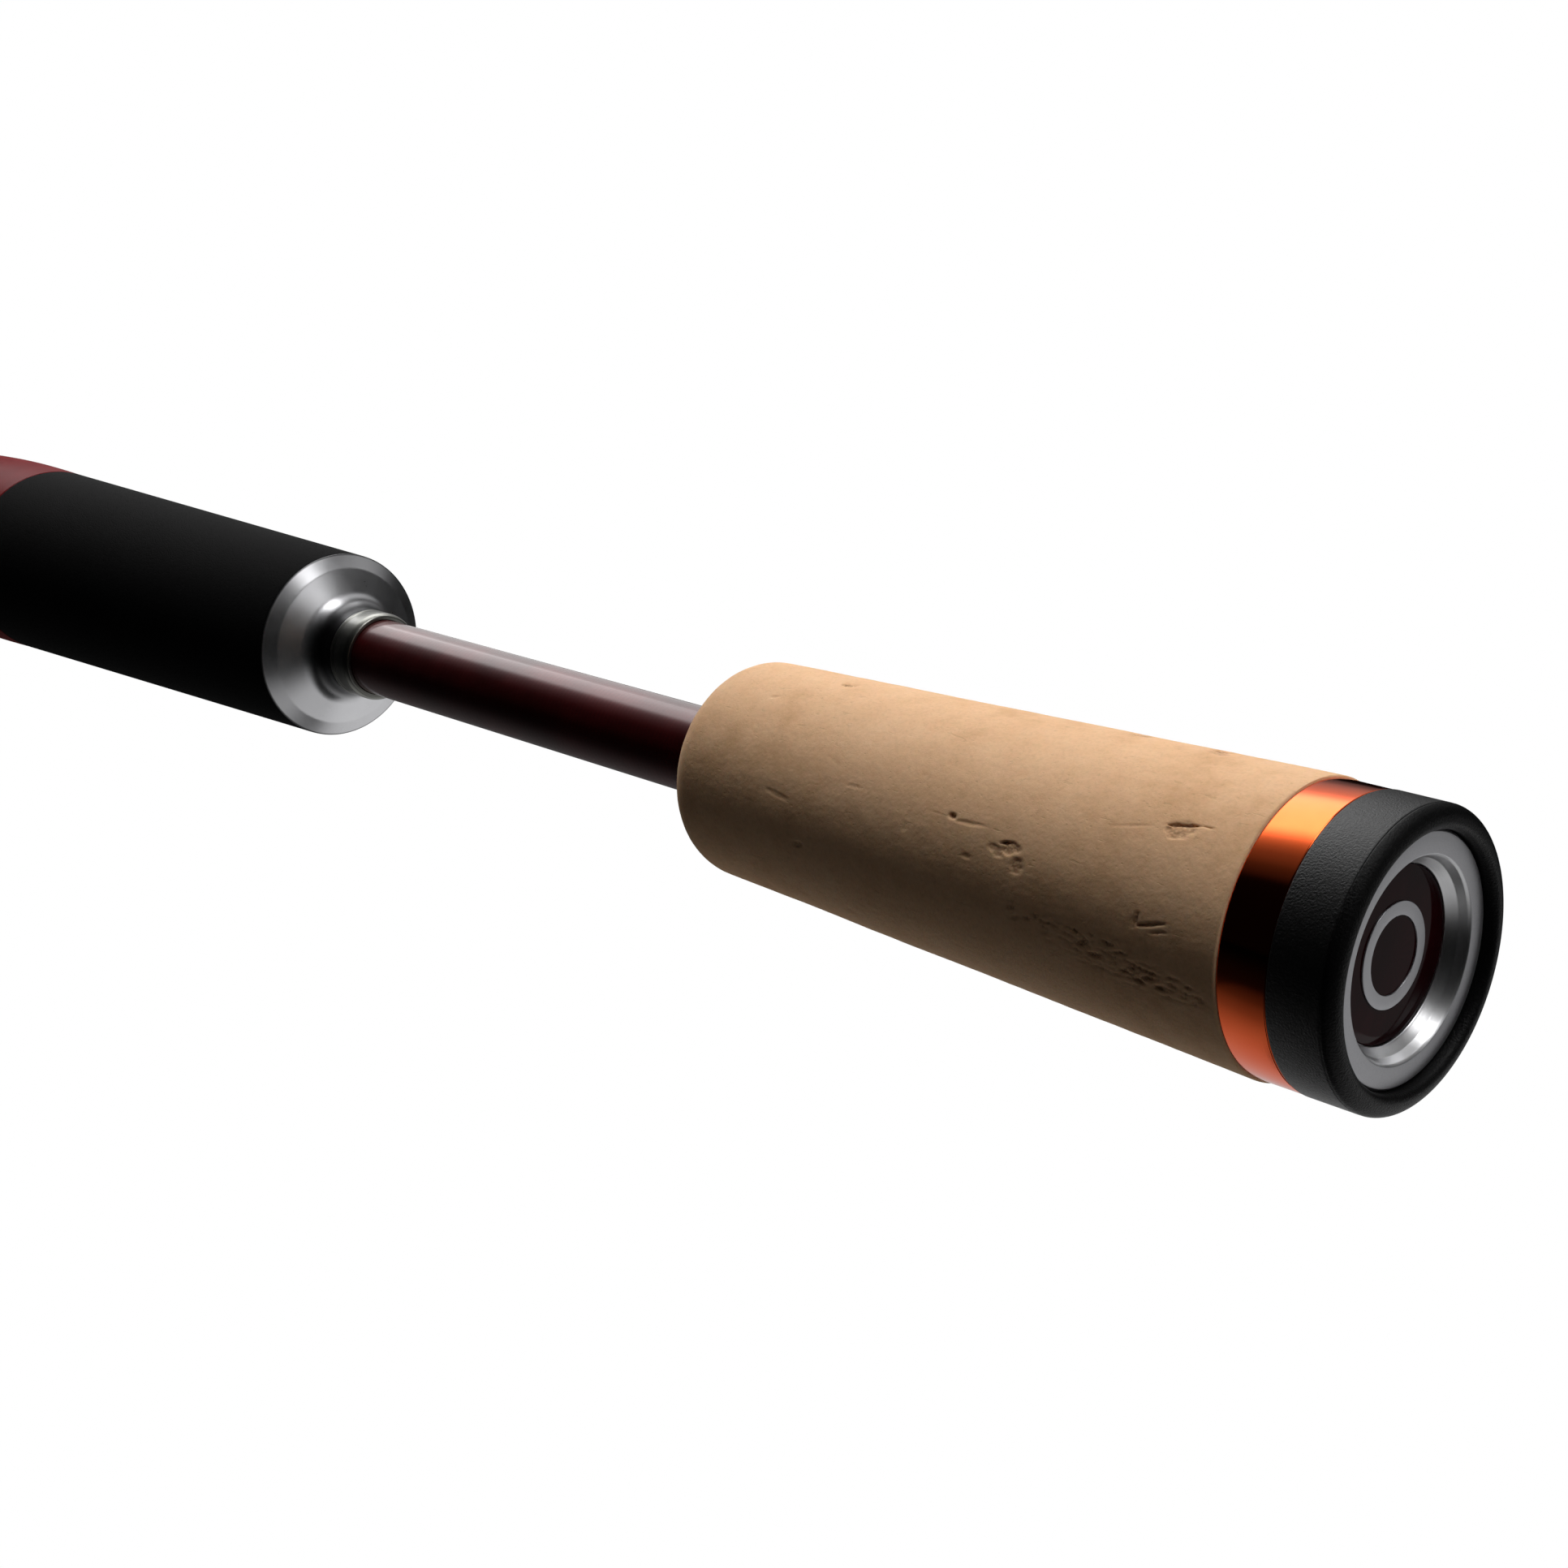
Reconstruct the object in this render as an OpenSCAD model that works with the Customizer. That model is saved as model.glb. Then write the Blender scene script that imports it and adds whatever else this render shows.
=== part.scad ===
// Short casting-style ice fishing rod with a split handle and a trigger reel seat.
// The rod's axis is X, from the butt (x = 0) to the tip. The reel and the line guides are on +Z.

/* [Blank] */
// Length of the rod, butt to tip
rod_length = 1050; // [950:5:1200]
// Blank diameter through the handle
blank_d = 9.3; // [8:0.1:10]
// Blank diameter at the tip
blank_tip_d = 2.2; // [1.8:0.1:3]
// Blank wall thickness
blank_wall = 1.1; // [0.8:0.1:1.6]

/* [Butt] */
// Diameter of the butt cap
cap_d = 26; // [24:0.1:28]
// Length of the rubber bumper
bumper_len = 1.15; // [1:0.05:1.6]
// Distance from the butt to the copper ring
cap_len = 6.1; // [5.5:0.1:9]
// Width of the copper ring
ring_width = 4.65; // [3:0.05:8]
// Step from the cap down to the copper ring
ring_step = 0.05; // [0:0.05:0.6]
// Diameter of the end plug's rim
plug_rim_d = 21.7; // [20.5:0.1:22.2]
// Diameter of the recess mouth in the end plug
plug_mouth_d = 17.6; // [17:0.1:18.6]
// Diameter of the inlay disc
inlay_d = 15.2; // [14:0.1:15.6]
// Depth of the inlay face below the rim
inlay_depth = 1.8; // [1.4:0.05:3]

/* [Cork grip] */
// Diameter of the cork at the copper ring
cork_rear_d = 26.3; // [24.5:0.1:28]
// Diameter of the cork where its dome starts
cork_front_d = 22.4; // [19:0.1:24]
// Length of the cork grip
cork_len = 70.3; // [50:0.1:120]
// Length of the domed front
cork_dome = 5.1; // [4:0.1:9]

/* [Foam grip] */
// Bare blank between the cork and the foam grip
bare_len = 72.95; // [40:0.05:120]
// Diameter of the foam grip at the flare
foam_rear_d = 23; // [21.5:0.1:25]
// Diameter of the foam grip at the reel seat
foam_front_d = 26.5; // [25.6:0.1:28]
// Length of the foam grip
foam_len = 74.9; // [50:0.1:120]
// How far the lip of the flare stands back from the foam
flare_height = 1; // [0.6:0.05:2]
// Diameter of the collar on the blank
collar_d = 10.8; // [10.4:0.1:11.6]
// Length of the collar
collar_len = 3.5; // [2.5:0.1:5]

/* [Reel seat] */
// Height of the reel foot saddle above the axis
saddle_height = 8; // [7.4:0.1:8.4]
// Diameter of the seat's barrel over the thread
barrel_d = 20.4; // [19.8:0.1:21]
// Pitch of the barrel thread
thread_pitch = 2; // [1.5:0.5:3]
// Travel of the sliding hood
hood_travel = 18; // [10:1:20]
// Length of the sliding hood
hood_len = 16; // [14:0.5:18]
// Length of the lock nut
nut_len = 11; // [9:0.5:13]
// Diameter of the lock nut
nut_d = 25.2; // [24:0.1:26]
// Length of the saddle between the hoods when the seat is closed
saddle_len = 36; // [32:1:46]
// Width of the trigger
trigger_width = 8; // [6:0.5:10]
// Radius of the trigger's finger hollow
trigger_r = 16.5; // [14:0.5:19]

/* [Front] */
// Length of the fore grip
fore_len = 28; // [20:1:45]
// Length of the thread wrap in front of the fore grip
front_wrap_len = 26; // [15:1:40]

/* [Guides] */
// Distance from the hook keeper to the first guide
guide_start = 36.3; // [30:0.1:60]
// Growth of the guide spacing towards the reel
spacing_growth = 1.125; // [1.08:0.005:1.15]
// Bore of the tip ring
tip_ring_d = 5; // [4:0.1:6]
// Radial thickness of the ceramic rings
ring_t = 0.9; // [0.7:0.05:1.2]
// Straight length of the ceramic rings' bores
ring_wall = 0.7; // [0.5:0.05:1]

/* [Fits] */
// Radial gap of glued sleeves
glue_gap = 0.05; // [0.03:0.01:0.1]
// Radial gap of running fits
run_gap = 0.08; // [0.03:0.01:0.1]
// Gap between faces that move past each other
face_gap = 0.3; // [0.2:0.05:0.5]

/* [Hidden] */
$fn = 96;

// Colours of the materials
rubber_c = [0.06, 0.06, 0.06];
foam_c = [0.08, 0.08, 0.085];
steel_c = [0.52, 0.52, 0.54];
copper_c = [0.78, 0.36, 0.12];
cork_c = [0.82, 0.66, 0.48];
wine_c = [0.2, 0.02, 0.03];
gun_c = [0.22, 0.22, 0.24];
ceramic_c = [0.1, 0.1, 0.12];
thread_c = [0.3, 0.03, 0.05];

// Butt
cap_r = cap_d / 2;
bumper_round = 1.5;
rim_x = bumper_len - 0.1;
flange_x = rim_x + 0.45;
rim_r = plug_rim_d / 2;
mouth_r = plug_mouth_d / 2;
inlay_r = inlay_d / 2;
inlay_t = 0.55;
inlay_x = rim_x + inlay_depth;
inlay_ring_out = 0.6 * inlay_r;
inlay_ring_in = 0.44 * inlay_r;
inlay_ring_t = 0.12;
plug_r = rim_r - 1.25;
plug_end = inlay_x + inlay_t + 8;
spigot_len = 10;
cap_spigot_r = cap_r - 2;
cork_x = cap_len + ring_width;
cap_end = max(cork_x, plug_end) + 3.25;
cork_r = cork_rear_d / 2;
cork_front_r = cork_front_d / 2;
cork_end = cork_x + cork_len;

// Blank
blank_r = blank_d / 2;
tip_r = blank_tip_d / 2;
bore_r = blank_r - blank_wall;
blank_x = plug_end + glue_gap;
sleeve_r = blank_r + glue_gap;

// Foam grip and the flare that ends it
foam_x = cork_end + bare_len;
foam_rear_r = foam_rear_d / 2;
foam_front_r = foam_front_d / 2;
foam_end = foam_x + foam_len;
flare_spigot_r = foam_rear_r - 2.5;
flare_end = foam_x + 6.5;
flare_turn = 68;
flare_round = 3;
neck_r = collar_d / 2 - 0.05;
lip_x = foam_x - flare_height;
lip_r = foam_rear_r - 1.7;
sweep_r = neck_r + flare_round * (1 - cos(flare_turn));
sweep_x = lip_x - (lip_r - sweep_r) / tan(flare_turn) - flare_round * sin(flare_turn);
neck_x = sweep_x - 1;
collar_x = neck_x - collar_len;

// Reel seat, measured from the front of the foam grip
seat_x = foam_end;
seat_rear_r = foam_front_r;
barrel_r = barrel_d / 2;
thread_depth = 0.75;
seat_bore_r = saddle_height - 1.6;
seat_spigot_r = 8.4;
arbor_len = 40;
hood_x = seat_x + 31;
fixed_hood_len = 14;
pocket_depth = 11;
closed_x = hood_x + fixed_hood_len + saddle_len;
open_x = closed_x + hood_travel;
nut_x = open_x + hood_len + face_gap;
thread_x = closed_x - 1;
thread_end = nut_x + nut_len;
saddle_end = open_x + pocket_depth + 0.3;
saddle_drop = 0.2;
fore_x = thread_end + 2.7;
seat_end = fore_x + 7;
hood_wall = 1.5;
hood_rise = 2.3;
pocket_r = barrel_r + 0.7;
hood_r = pocket_r + hood_wall;
key_width = 3;
key_gap = 0.1;
key_depth = 1.2;
trigger_x = hood_x + fixed_hood_len + 29;
trigger_z = -barrel_r - 1.8;
trigger_t = 5;

// Fore grip and front wrap
fore_r = barrel_r + 2;
fore_front_r = blank_r + 2.6;
fore_end = fore_x + fore_len;
check_end = fore_end + 3.8;
wrap_t = 0.35;
front_wrap_x = check_end + 0.3;
taper_x = front_wrap_x + front_wrap_len;

// Hook keeper
keeper_x = taper_x + 26;
keeper_half = 9;
keeper_pin_r = 0.5;
keeper_drop = 2;
keeper_barrel_r = 1.1;
keeper_barrel_half = 2.2;
keeper_leg_y = keeper_barrel_half + face_gap + keeper_pin_r;
keeper_leg = 6;

// Guides, from the reel to the tip
guide_d = [10, 8, 7, 6, 5.5, 5];
guide_h = [13, 10.5, 9.2, 8.2, 7.4, 6.7];
foot_t = 0.6;
foot_len = [11, 10, 10, 9, 9, 8];
tip_tube_len = 13;
tip_ring_x = rod_length - 1.4;
tip_stop = rod_length - 3.2;
guide_span = tip_ring_x - keeper_x - guide_start;

function arc_points(c, r, a0, a1, n) =
    [for (i = [0:n]) [c[0] + r * cos(a0 + (a1 - a0) * i / n), c[1] + r * sin(a0 + (a1 - a0) * i / n)]];
function dome_points(x0, r0, len, drop, low, n) =
    [for (i = [0:n]) let (s = sin(78 * i / n)) [max(low, r0 - drop * (1 - sqrt(1 - s * s))), x0 + len * s]];
function blank_at(x) =
    x <= taper_x ? blank_r : blank_r + (tip_r - blank_r) * (x - taper_x) / (tip_stop - taper_x);
function growth_sum(n) = n <= 0 ? 0 : pow(spacing_growth, n - 1) + growth_sum(n - 1);
function guide_x(i) = tip_ring_x - guide_span * growth_sum(6 - i) / growth_sum(6);
function foot_half(x) = min(0.95, 0.55 * blank_at(x));
function leg_out(i) = 0.5 * guide_h[i];

// Solid of revolution about the rod's axis, from points [radius, x]
module lathe(points) {
    rotate([0, 90, 0])
        rotate_extrude()
            polygon(points);
}

// Cylinder or cone along X
module along(x, len, r, r2 = -1) {
    translate([x, 0, 0])
        rotate([0, 90, 0])
            cylinder(h = len, r1 = r, r2 = r2 < 0 ? r : r2);
}

// Round bar between two points
module bar(p, q, r) {
    d = q - p;
    l = norm(d);
    translate(p)
        rotate([0, acos(d[2] / l), atan2(d[1], d[0])])
            cylinder(h = l, r = r, $fn = 24);
}

// Box between two corners
module box(lo, hi) {
    translate(lo)
        cube(hi - lo);
}

module butt_bumper() {
    color(rubber_c)
        lathe(concat(
            [[rim_r + glue_gap, bumper_len], [rim_r + glue_gap, 0.35], [rim_r + glue_gap + 0.35, 0]],
            [for (i = [0:8]) let (a = 90 * i / 8)
                [cap_r - bumper_round * (1 - sin(a)), bumper_len * (1 - cos(a))]]));
}

module butt_cap() {
    color(rubber_c)
        lathe([
            [plug_r + glue_gap, flange_x], [rim_r + glue_gap, flange_x], [rim_r + glue_gap, bumper_len],
            [cap_r - 0.3, bumper_len], [cap_r, bumper_len + 0.3],
            [cap_r, cap_len], [cap_spigot_r, cap_len], [cap_spigot_r, cap_end], [plug_r + glue_gap, cap_end]]);
}

module end_plug() {
    color(steel_c)
        lathe([
            [0, inlay_x + inlay_t], [inlay_r + glue_gap, inlay_x + inlay_t], [inlay_r + glue_gap, inlay_x - 0.05],
            [mouth_r - 0.5, inlay_x - 0.8], [mouth_r - 0.3, rim_x + 0.5], [mouth_r, rim_x],
            [rim_r - 0.3, rim_x], [rim_r, rim_x + 0.3], [rim_r, flange_x], [plug_r, flange_x],
            [plug_r, plug_end], [bore_r - glue_gap, plug_end], [bore_r - glue_gap, plug_end + spigot_len],
            [0, plug_end + spigot_len]]);
}

module inlay_disc() {
    color(wine_c)
        along(inlay_x, inlay_t, inlay_r);
}

module inlay_ring() {
    color(steel_c)
        difference() {
            along(inlay_x - inlay_ring_t, inlay_ring_t, inlay_ring_out);
            along(inlay_x - 1, 2, inlay_ring_in);
        }
}

module copper_ring() {
    ring_r = cap_r - ring_step;
    color(copper_c)
        lathe([
            [cap_spigot_r + glue_gap, cap_len], [ring_r - 0.2, cap_len], [ring_r, cap_len + 0.2],
            [ring_r, cork_x - 0.2], [ring_r - 0.2, cork_x], [cap_spigot_r + glue_gap, cork_x]]);
}

module cork_grip() {
    color(cork_c)
        lathe(concat(
            [[sleeve_r, cap_end + glue_gap], [cap_spigot_r + glue_gap, cap_end + glue_gap],
             [cap_spigot_r + glue_gap, cork_x], [cork_r - 0.3, cork_x], [cork_r, cork_x + 0.3]],
            dome_points(cork_end - cork_dome, cork_front_r, cork_dome, 8.2, sleeve_r, 10),
            [[sleeve_r, cork_end]]));
}

module blank() {
    solid_x = 0.9 * tip_stop;
    color(wine_c)
        lathe([
            [bore_r, blank_x], [blank_r, blank_x], [blank_r, taper_x], [tip_r, tip_stop], [0, tip_stop],
            [0, solid_x], [0.4 * blank_at(solid_x), solid_x], [bore_r, taper_x]]);
}

module collar() {
    r = collar_d / 2;
    color(gun_c)
        lathe([
            [sleeve_r, collar_x], [r - 0.45, collar_x], [r, collar_x + 0.45],
            [r, collar_x + collar_len], [sleeve_r, collar_x + collar_len]]);
}

module flare() {
    color(steel_c)
        lathe(concat(
            [[sleeve_r, neck_x], [neck_r - 0.15, neck_x], [neck_r, neck_x + 0.15]],
            [for (i = [0:8]) let (a = flare_turn * i / 8)
                [neck_r + flare_round * (1 - cos(a)), sweep_x + flare_round * sin(a)]],
            [[lip_r, lip_x], [foam_rear_r - 0.12, foam_x - 0.1], [foam_rear_r, foam_x],
             [flare_spigot_r, foam_x], [flare_spigot_r, flare_end], [sleeve_r, flare_end]]));
}

module foam_grip() {
    deep = 8;
    color(foam_c)
        lathe([
            [sleeve_r, flare_end + glue_gap],
            [flare_spigot_r + glue_gap, flare_end + glue_gap],
            [flare_spigot_r + glue_gap, foam_x], [foam_rear_r, foam_x], [foam_front_r, foam_end],
            [seat_spigot_r + glue_gap, foam_end], [seat_spigot_r + glue_gap, foam_end - deep],
            [sleeve_r, foam_end - deep]]);
}

// Ridges of the barrel thread, as rings along the barrel
function thread_points() =
    [for (x = [thread_x + 0.5 : thread_pitch : thread_end - thread_pitch])
        each [[barrel_r - thread_depth, x], [barrel_r, x + 0.3 * thread_pitch],
              [barrel_r, x + 0.6 * thread_pitch], [barrel_r - thread_depth, x + 0.9 * thread_pitch]]];

module trigger() {
    c = [trigger_x, trigger_z];
    mid_r = trigger_r + trigger_t / 2;
    tip_a = 247;
    tip = [c[0] + mid_r * cos(tip_a), c[1] + mid_r * sin(tip_a)];
    low = tip[1] - trigger_t / 2;
    end_r = 0.4 * trigger_width;
    intersection() {
        translate([0, trigger_width, 0])
            rotate([90, 0, 0])
                linear_extrude(2 * trigger_width)
                    polygon(concat(
                        arc_points(c, trigger_r, 145, tip_a, 16),
                        arc_points(tip, trigger_t / 2, tip_a + 170, tip_a + 10, 8),
                        arc_points(c, trigger_r + trigger_t, tip_a, 152, 16)));
        translate([c[0] - 2 * trigger_r, 0, 0])
            rotate([90, 0, 90])
                linear_extrude(3 * trigger_r)
                    polygon(concat(
                        arc_points([0, low + end_r], end_r, 180, 360, 12),
                        [[0.5 * trigger_width, -barrel_r + 1], [0.5 * trigger_width, 0],
                         [-0.5 * trigger_width, 0], [-0.5 * trigger_width, -barrel_r + 1]]));
    }
}

module seat_body() {
    mid0 = hood_x + fixed_hood_len + 1;
    mid1 = thread_x - 2;
    color(wine_c)
        difference() {
            union() {
                lathe(concat(
                    [[seat_bore_r, seat_x - 7.5], [seat_spigot_r, seat_x - 7.5], [seat_spigot_r, seat_x],
                     [seat_rear_r - 0.15, seat_x], [seat_rear_r, seat_x + 0.15], [seat_rear_r + 0.3, seat_x + 11],
                     [seat_rear_r + 0.2, hood_x - 10], [seat_rear_r - 0.3, hood_x - 4],
                     [seat_rear_r - 1.1, hood_x], [barrel_r, hood_x], [barrel_r, mid0]],
                    [for (i = [1:7]) [barrel_r + 0.8 * sin(180 * i / 8), mid0 + (mid1 - mid0) * i / 8]],
                    [[barrel_r, mid1], [barrel_r - thread_depth, mid1 + 0.8]],
                    thread_points(),
                    [[barrel_r - thread_depth, fore_x], [seat_spigot_r, fore_x], [seat_spigot_r, seat_end],
                     [seat_bore_r, seat_end]]));
                difference() {
                    trigger();
                    along(seat_x, seat_end - seat_x, barrel_r - 1);
                }
            }
            box([hood_x, -cap_d, saddle_height - saddle_drop], [mid0, cap_d, cap_d]);
            box([mid0 - 1, -cap_d, saddle_height], [mid1 + 1, cap_d, cap_d]);
            box([mid1, -cap_d, saddle_height - saddle_drop], [saddle_end, cap_d, cap_d]);
            box([mid1 + 0.8, -key_width / 2 - key_gap, -cap_d],
                [fore_x - 1, key_width / 2 + key_gap, -barrel_r + key_depth]);
        }
}

module arbor(x, len) {
    color(rubber_c)
        lathe([
            [sleeve_r, x], [seat_bore_r - glue_gap, x], [seat_bore_r - glue_gap, x + len], [sleeve_r, x + len]]);
}

module rear_arbor() {
    arbor(seat_x - 5, arbor_len);
}

module front_arbor() {
    arbor(thread_x + 4, arbor_len);
}

// Drum along X with a long bevel at the back and at the nose
module blunt(x, len, r, back, nose) {
    drop = 0.9;
    along(x, back, r - drop, r);
    along(x + back, len - back - nose, r);
    along(x + len - nose, nose, r, r - drop);
}

// Ring with a raised pocket for one end of the reel foot
module hood_shell(x, len, bore, pocket_x, pocket_len, back, nose) {
    difference() {
        union() {
            blunt(x, len, hood_r - 0.1, back, nose);
            translate([0, 0, hood_rise])
                blunt(x, len, hood_r, back, nose);
        }
        along(x - 1, len + 2, bore);
        intersection() {
            translate([0, 0, hood_rise])
                along(pocket_x, pocket_len, pocket_r);
            box([pocket_x, -cap_d, saddle_height - saddle_drop], [pocket_x + pocket_len, cap_d, cap_d]);
        }
    }
}

module fixed_hood() {
    color(gun_c)
        hood_shell(hood_x, fixed_hood_len, barrel_r + glue_gap,
            hood_x + fixed_hood_len - pocket_depth, pocket_depth + 1, 4, 0.8);
}

module sliding_hood() {
    key_z = -barrel_r + key_depth - 0.2;
    color(gun_c) {
        hood_shell(open_x, hood_len, barrel_r + run_gap, open_x - 1, pocket_depth + 1, 0.8, 4);
        box([open_x + 2, -key_width / 2, -barrel_r - 0.6], [open_x + hood_len - 2, key_width / 2, key_z]);
    }
}

module lock_nut() {
    grooves = 28;
    r = nut_d / 2;
    color(gun_c)
        difference() {
            lathe([
                [barrel_r + run_gap, nut_x], [r - 0.6, nut_x], [r, nut_x + 0.6],
                [r, nut_x + nut_len - 0.8], [r - 0.8, nut_x + nut_len], [barrel_r + run_gap, nut_x + nut_len]]);
            for (i = [0:grooves - 1])
                rotate([360 * i / grooves, 0, 0])
                    translate([0, 0, r + 0.25])
                        along(nut_x - 1, nut_len + 2, 0.75);
        }
}

module fore_grip() {
    color(foam_c)
        lathe([
            [sleeve_r, seat_end + glue_gap], [seat_spigot_r + glue_gap, seat_end + glue_gap],
            [seat_spigot_r + glue_gap, fore_x], [fore_r - 0.8, fore_x], [fore_r, fore_x + 0.8],
            [fore_r - 0.2, fore_x + 6], [fore_front_r + 0.6, fore_end - 1.2], [fore_front_r, fore_end],
            [sleeve_r, fore_end]]);
}

module front_check() {
    color(steel_c)
        lathe([
            [sleeve_r, fore_end], [fore_front_r - 0.3, fore_end], [fore_front_r - 0.3, fore_end + 1],
            [blank_r + 0.8, check_end - 0.4], [blank_r + 0.5, check_end], [sleeve_r, check_end]]);
}

module front_wrap() {
    color(thread_c)
        difference() {
            along(front_wrap_x, front_wrap_len, blank_r + wrap_t);
            along(front_wrap_x - 1, front_wrap_len + 2, sleeve_r);
        }
}

// Tongue that lies on the blank, on the +Z side (side 1) or on the -Z side (side -1)
module foot(x0, x1, side, gap) {
    half = foot_half(x1) + gap;
    low = blank_at(x0) + glue_gap - gap;
    high = blank_at(x0) + glue_gap + foot_t + gap;
    if (side > 0)
        box([x0 - gap, -half, low], [x1 + gap, half, high]);
    else
        box([x0 - gap, -half, -high], [x1 + gap, half, -low]);
}

// Thread wrap over a foot that runs from f0 to f1; the wrap itself runs from x0 to x1
module foot_wrap(x0, x1, f0, f1, side) {
    out0 = blank_at(x0) + foot_t / 2 + wrap_t;
    out1 = blank_at(x1) + foot_t / 2 + wrap_t;
    color(thread_c)
        difference() {
            translate([0, 0, side * (foot_t / 2 + glue_gap)])
                along(x0, x1 - x0, out0, out1);
            along(x0 - 1, x1 - x0 + 2, blank_at(x0 - 1) + 0.02, blank_at(x1 + 1) + 0.02);
            foot(f0, f1, side, 0.02);
        }
}

// Depth of the keeper's hinge below the axis
function keeper_z() = -(blank_at(keeper_x - keeper_half) + foot_t + keeper_drop - face_gap);

module keeper_base() {
    z = keeper_z();
    under = -(blank_at(keeper_x - keeper_half) + glue_gap + foot_t / 2);
    color(gun_c)
        difference() {
            union() {
                foot(keeper_x - keeper_half, keeper_x + keeper_half, -1, 0);
                box([keeper_x - 0.9, -1.4, z], [keeper_x + 0.9, 1.4, under]);
                translate([keeper_x, keeper_barrel_half, z])
                    rotate([90, 0, 0])
                        cylinder(h = 2 * keeper_barrel_half, r = keeper_barrel_r);
            }
            translate([keeper_x, keeper_barrel_half + 1, z])
                rotate([90, 0, 0])
                    cylinder(h = 2 * keeper_barrel_half + 2, r = keeper_pin_r + 0.05);
        }
}

module keeper_loop() {
    color(steel_c)
        translate([keeper_x, 0, keeper_z()]) {
            for (s = [-1, 1]) {
                translate([0, s * keeper_leg_y, 0])
                    sphere(r = keeper_pin_r);
                translate([0, s * keeper_leg_y, 0])
                    rotate([s * 90, 0, 0])
                        cylinder(h = keeper_leg_y - 0.6, r = keeper_pin_r);
                translate([0, s * keeper_leg_y, 0])
                    rotate([0, 90, 0])
                        cylinder(h = keeper_leg, r = keeper_pin_r);
            }
            translate([keeper_leg, 0, 0])
                rotate([0, 0, -90])
                    rotate_extrude(angle = 180)
                        translate([keeper_leg_y, 0])
                            circle(r = keeper_pin_r);
        }
}

module keeper_wrap_rear() {
    foot_wrap(keeper_x - keeper_half - 1.5, keeper_x - 2.2,
        keeper_x - keeper_half, keeper_x + keeper_half, -1);
}

module keeper_wrap_front() {
    foot_wrap(keeper_x + 2.2, keeper_x + keeper_half + 1.5,
        keeper_x - keeper_half, keeper_x + keeper_half, -1);
}

// Ceramic ring with rounded faces about a point
module ceramic_ring(x, z, bore) {
    mid = bore + ring_t / 2;
    color(ceramic_c)
        translate([x, 0, z])
            rotate([0, 90, 0])
                rotate_extrude() {
                    translate([bore, -ring_wall / 2])
                        square([ring_t, ring_wall]);
                    translate([mid, -ring_wall / 2])
                        circle(r = ring_t / 2);
                    translate([mid, ring_wall / 2])
                        circle(r = ring_t / 2);
                }
}

// Metal hoop around a ceramic ring
module hoop(x, z, bore) {
    translate([x, 0, z])
        difference() {
            along(-0.6, 1.2, bore + ring_t + 0.7);
            along(-1, 2, bore + ring_t + 0.02);
        }
}

// Space that a ceramic ring takes, from its rear face on for the given length
module ring_space(x, z, bore, len) {
    translate([x - ring_wall / 2 - ring_t / 2 - 0.05, 0, z])
        along(0, len, bore + ring_t + 0.02);
}

// Ends of the rear and front feet of guide i
function rear_head(i) = guide_x(i) - leg_out(i);
function front_head(i) = guide_x(i) + leg_out(i);
function guide_z(i) = blank_at(guide_x(i)) + guide_h[i];

module guide_frame(i, feet) {
    x = guide_x(i);
    z = guide_z(i);
    out = guide_d[i] / 2 + ring_t + 0.35;
    leg_r = 0.5;
    rear = rear_head(i);
    front = front_head(i);
    foot_y = foot_half(rear) - 0.35;
    rear_z = blank_at(rear - foot_len[i]) + glue_gap + foot_t - 0.1;
    front_z = blank_at(front - 0.6) + glue_gap + foot_t - 0.1;
    color(gun_c) {
        hoop(x, z, guide_d[i] / 2);
        difference() {
            for (s = [-1, 1])
                bar([x, s * out * cos(25), z - out * sin(25)], [rear, s * foot_y, rear_z], leg_r);
            ring_space(x, z, guide_d[i] / 2, ring_wall + ring_t + 0.1);
        }
        foot(rear - foot_len[i], rear + 0.7, 1, 0);
        if (feet > 1) {
            difference() {
                bar([x, 0, z - out], [front, 0, front_z], leg_r);
                ring_space(x, z, guide_d[i] / 2, ring_wall + ring_t + 0.1);
            }
            foot(front - 0.7, front + foot_len[i], 1, 0);
        }
    }
}

module guide_wrap_rear(i) {
    head = rear_head(i);
    foot_wrap(head - foot_len[i] - 2.5, head - 1.2, head - foot_len[i], head + 0.7, 1);
}

module guide_wrap_front(i) {
    head = front_head(i);
    foot_wrap(head + 1.2, head + foot_len[i] + 2.5, head - 0.7, head + foot_len[i], 1);
}

module guide_1_frame() guide_frame(0, 2);
module guide_2_frame() guide_frame(1, 2);
module guide_3_frame() guide_frame(2, 1);
module guide_4_frame() guide_frame(3, 1);
module guide_5_frame() guide_frame(4, 1);
module guide_6_frame() guide_frame(5, 1);
module guide_1_ring() ceramic_ring(guide_x(0), guide_z(0), guide_d[0] / 2);
module guide_2_ring() ceramic_ring(guide_x(1), guide_z(1), guide_d[1] / 2);
module guide_3_ring() ceramic_ring(guide_x(2), guide_z(2), guide_d[2] / 2);
module guide_4_ring() ceramic_ring(guide_x(3), guide_z(3), guide_d[3] / 2);
module guide_5_ring() ceramic_ring(guide_x(4), guide_z(4), guide_d[4] / 2);
module guide_6_ring() ceramic_ring(guide_x(5), guide_z(5), guide_d[5] / 2);
module guide_1_wrap_rear() guide_wrap_rear(0);
module guide_1_wrap_front() guide_wrap_front(0);
module guide_2_wrap_rear() guide_wrap_rear(1);
module guide_2_wrap_front() guide_wrap_front(1);
module guide_3_wrap() guide_wrap_rear(2);
module guide_4_wrap() guide_wrap_rear(3);
module guide_5_wrap() guide_wrap_rear(4);
module guide_6_wrap() guide_wrap_rear(5);

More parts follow.
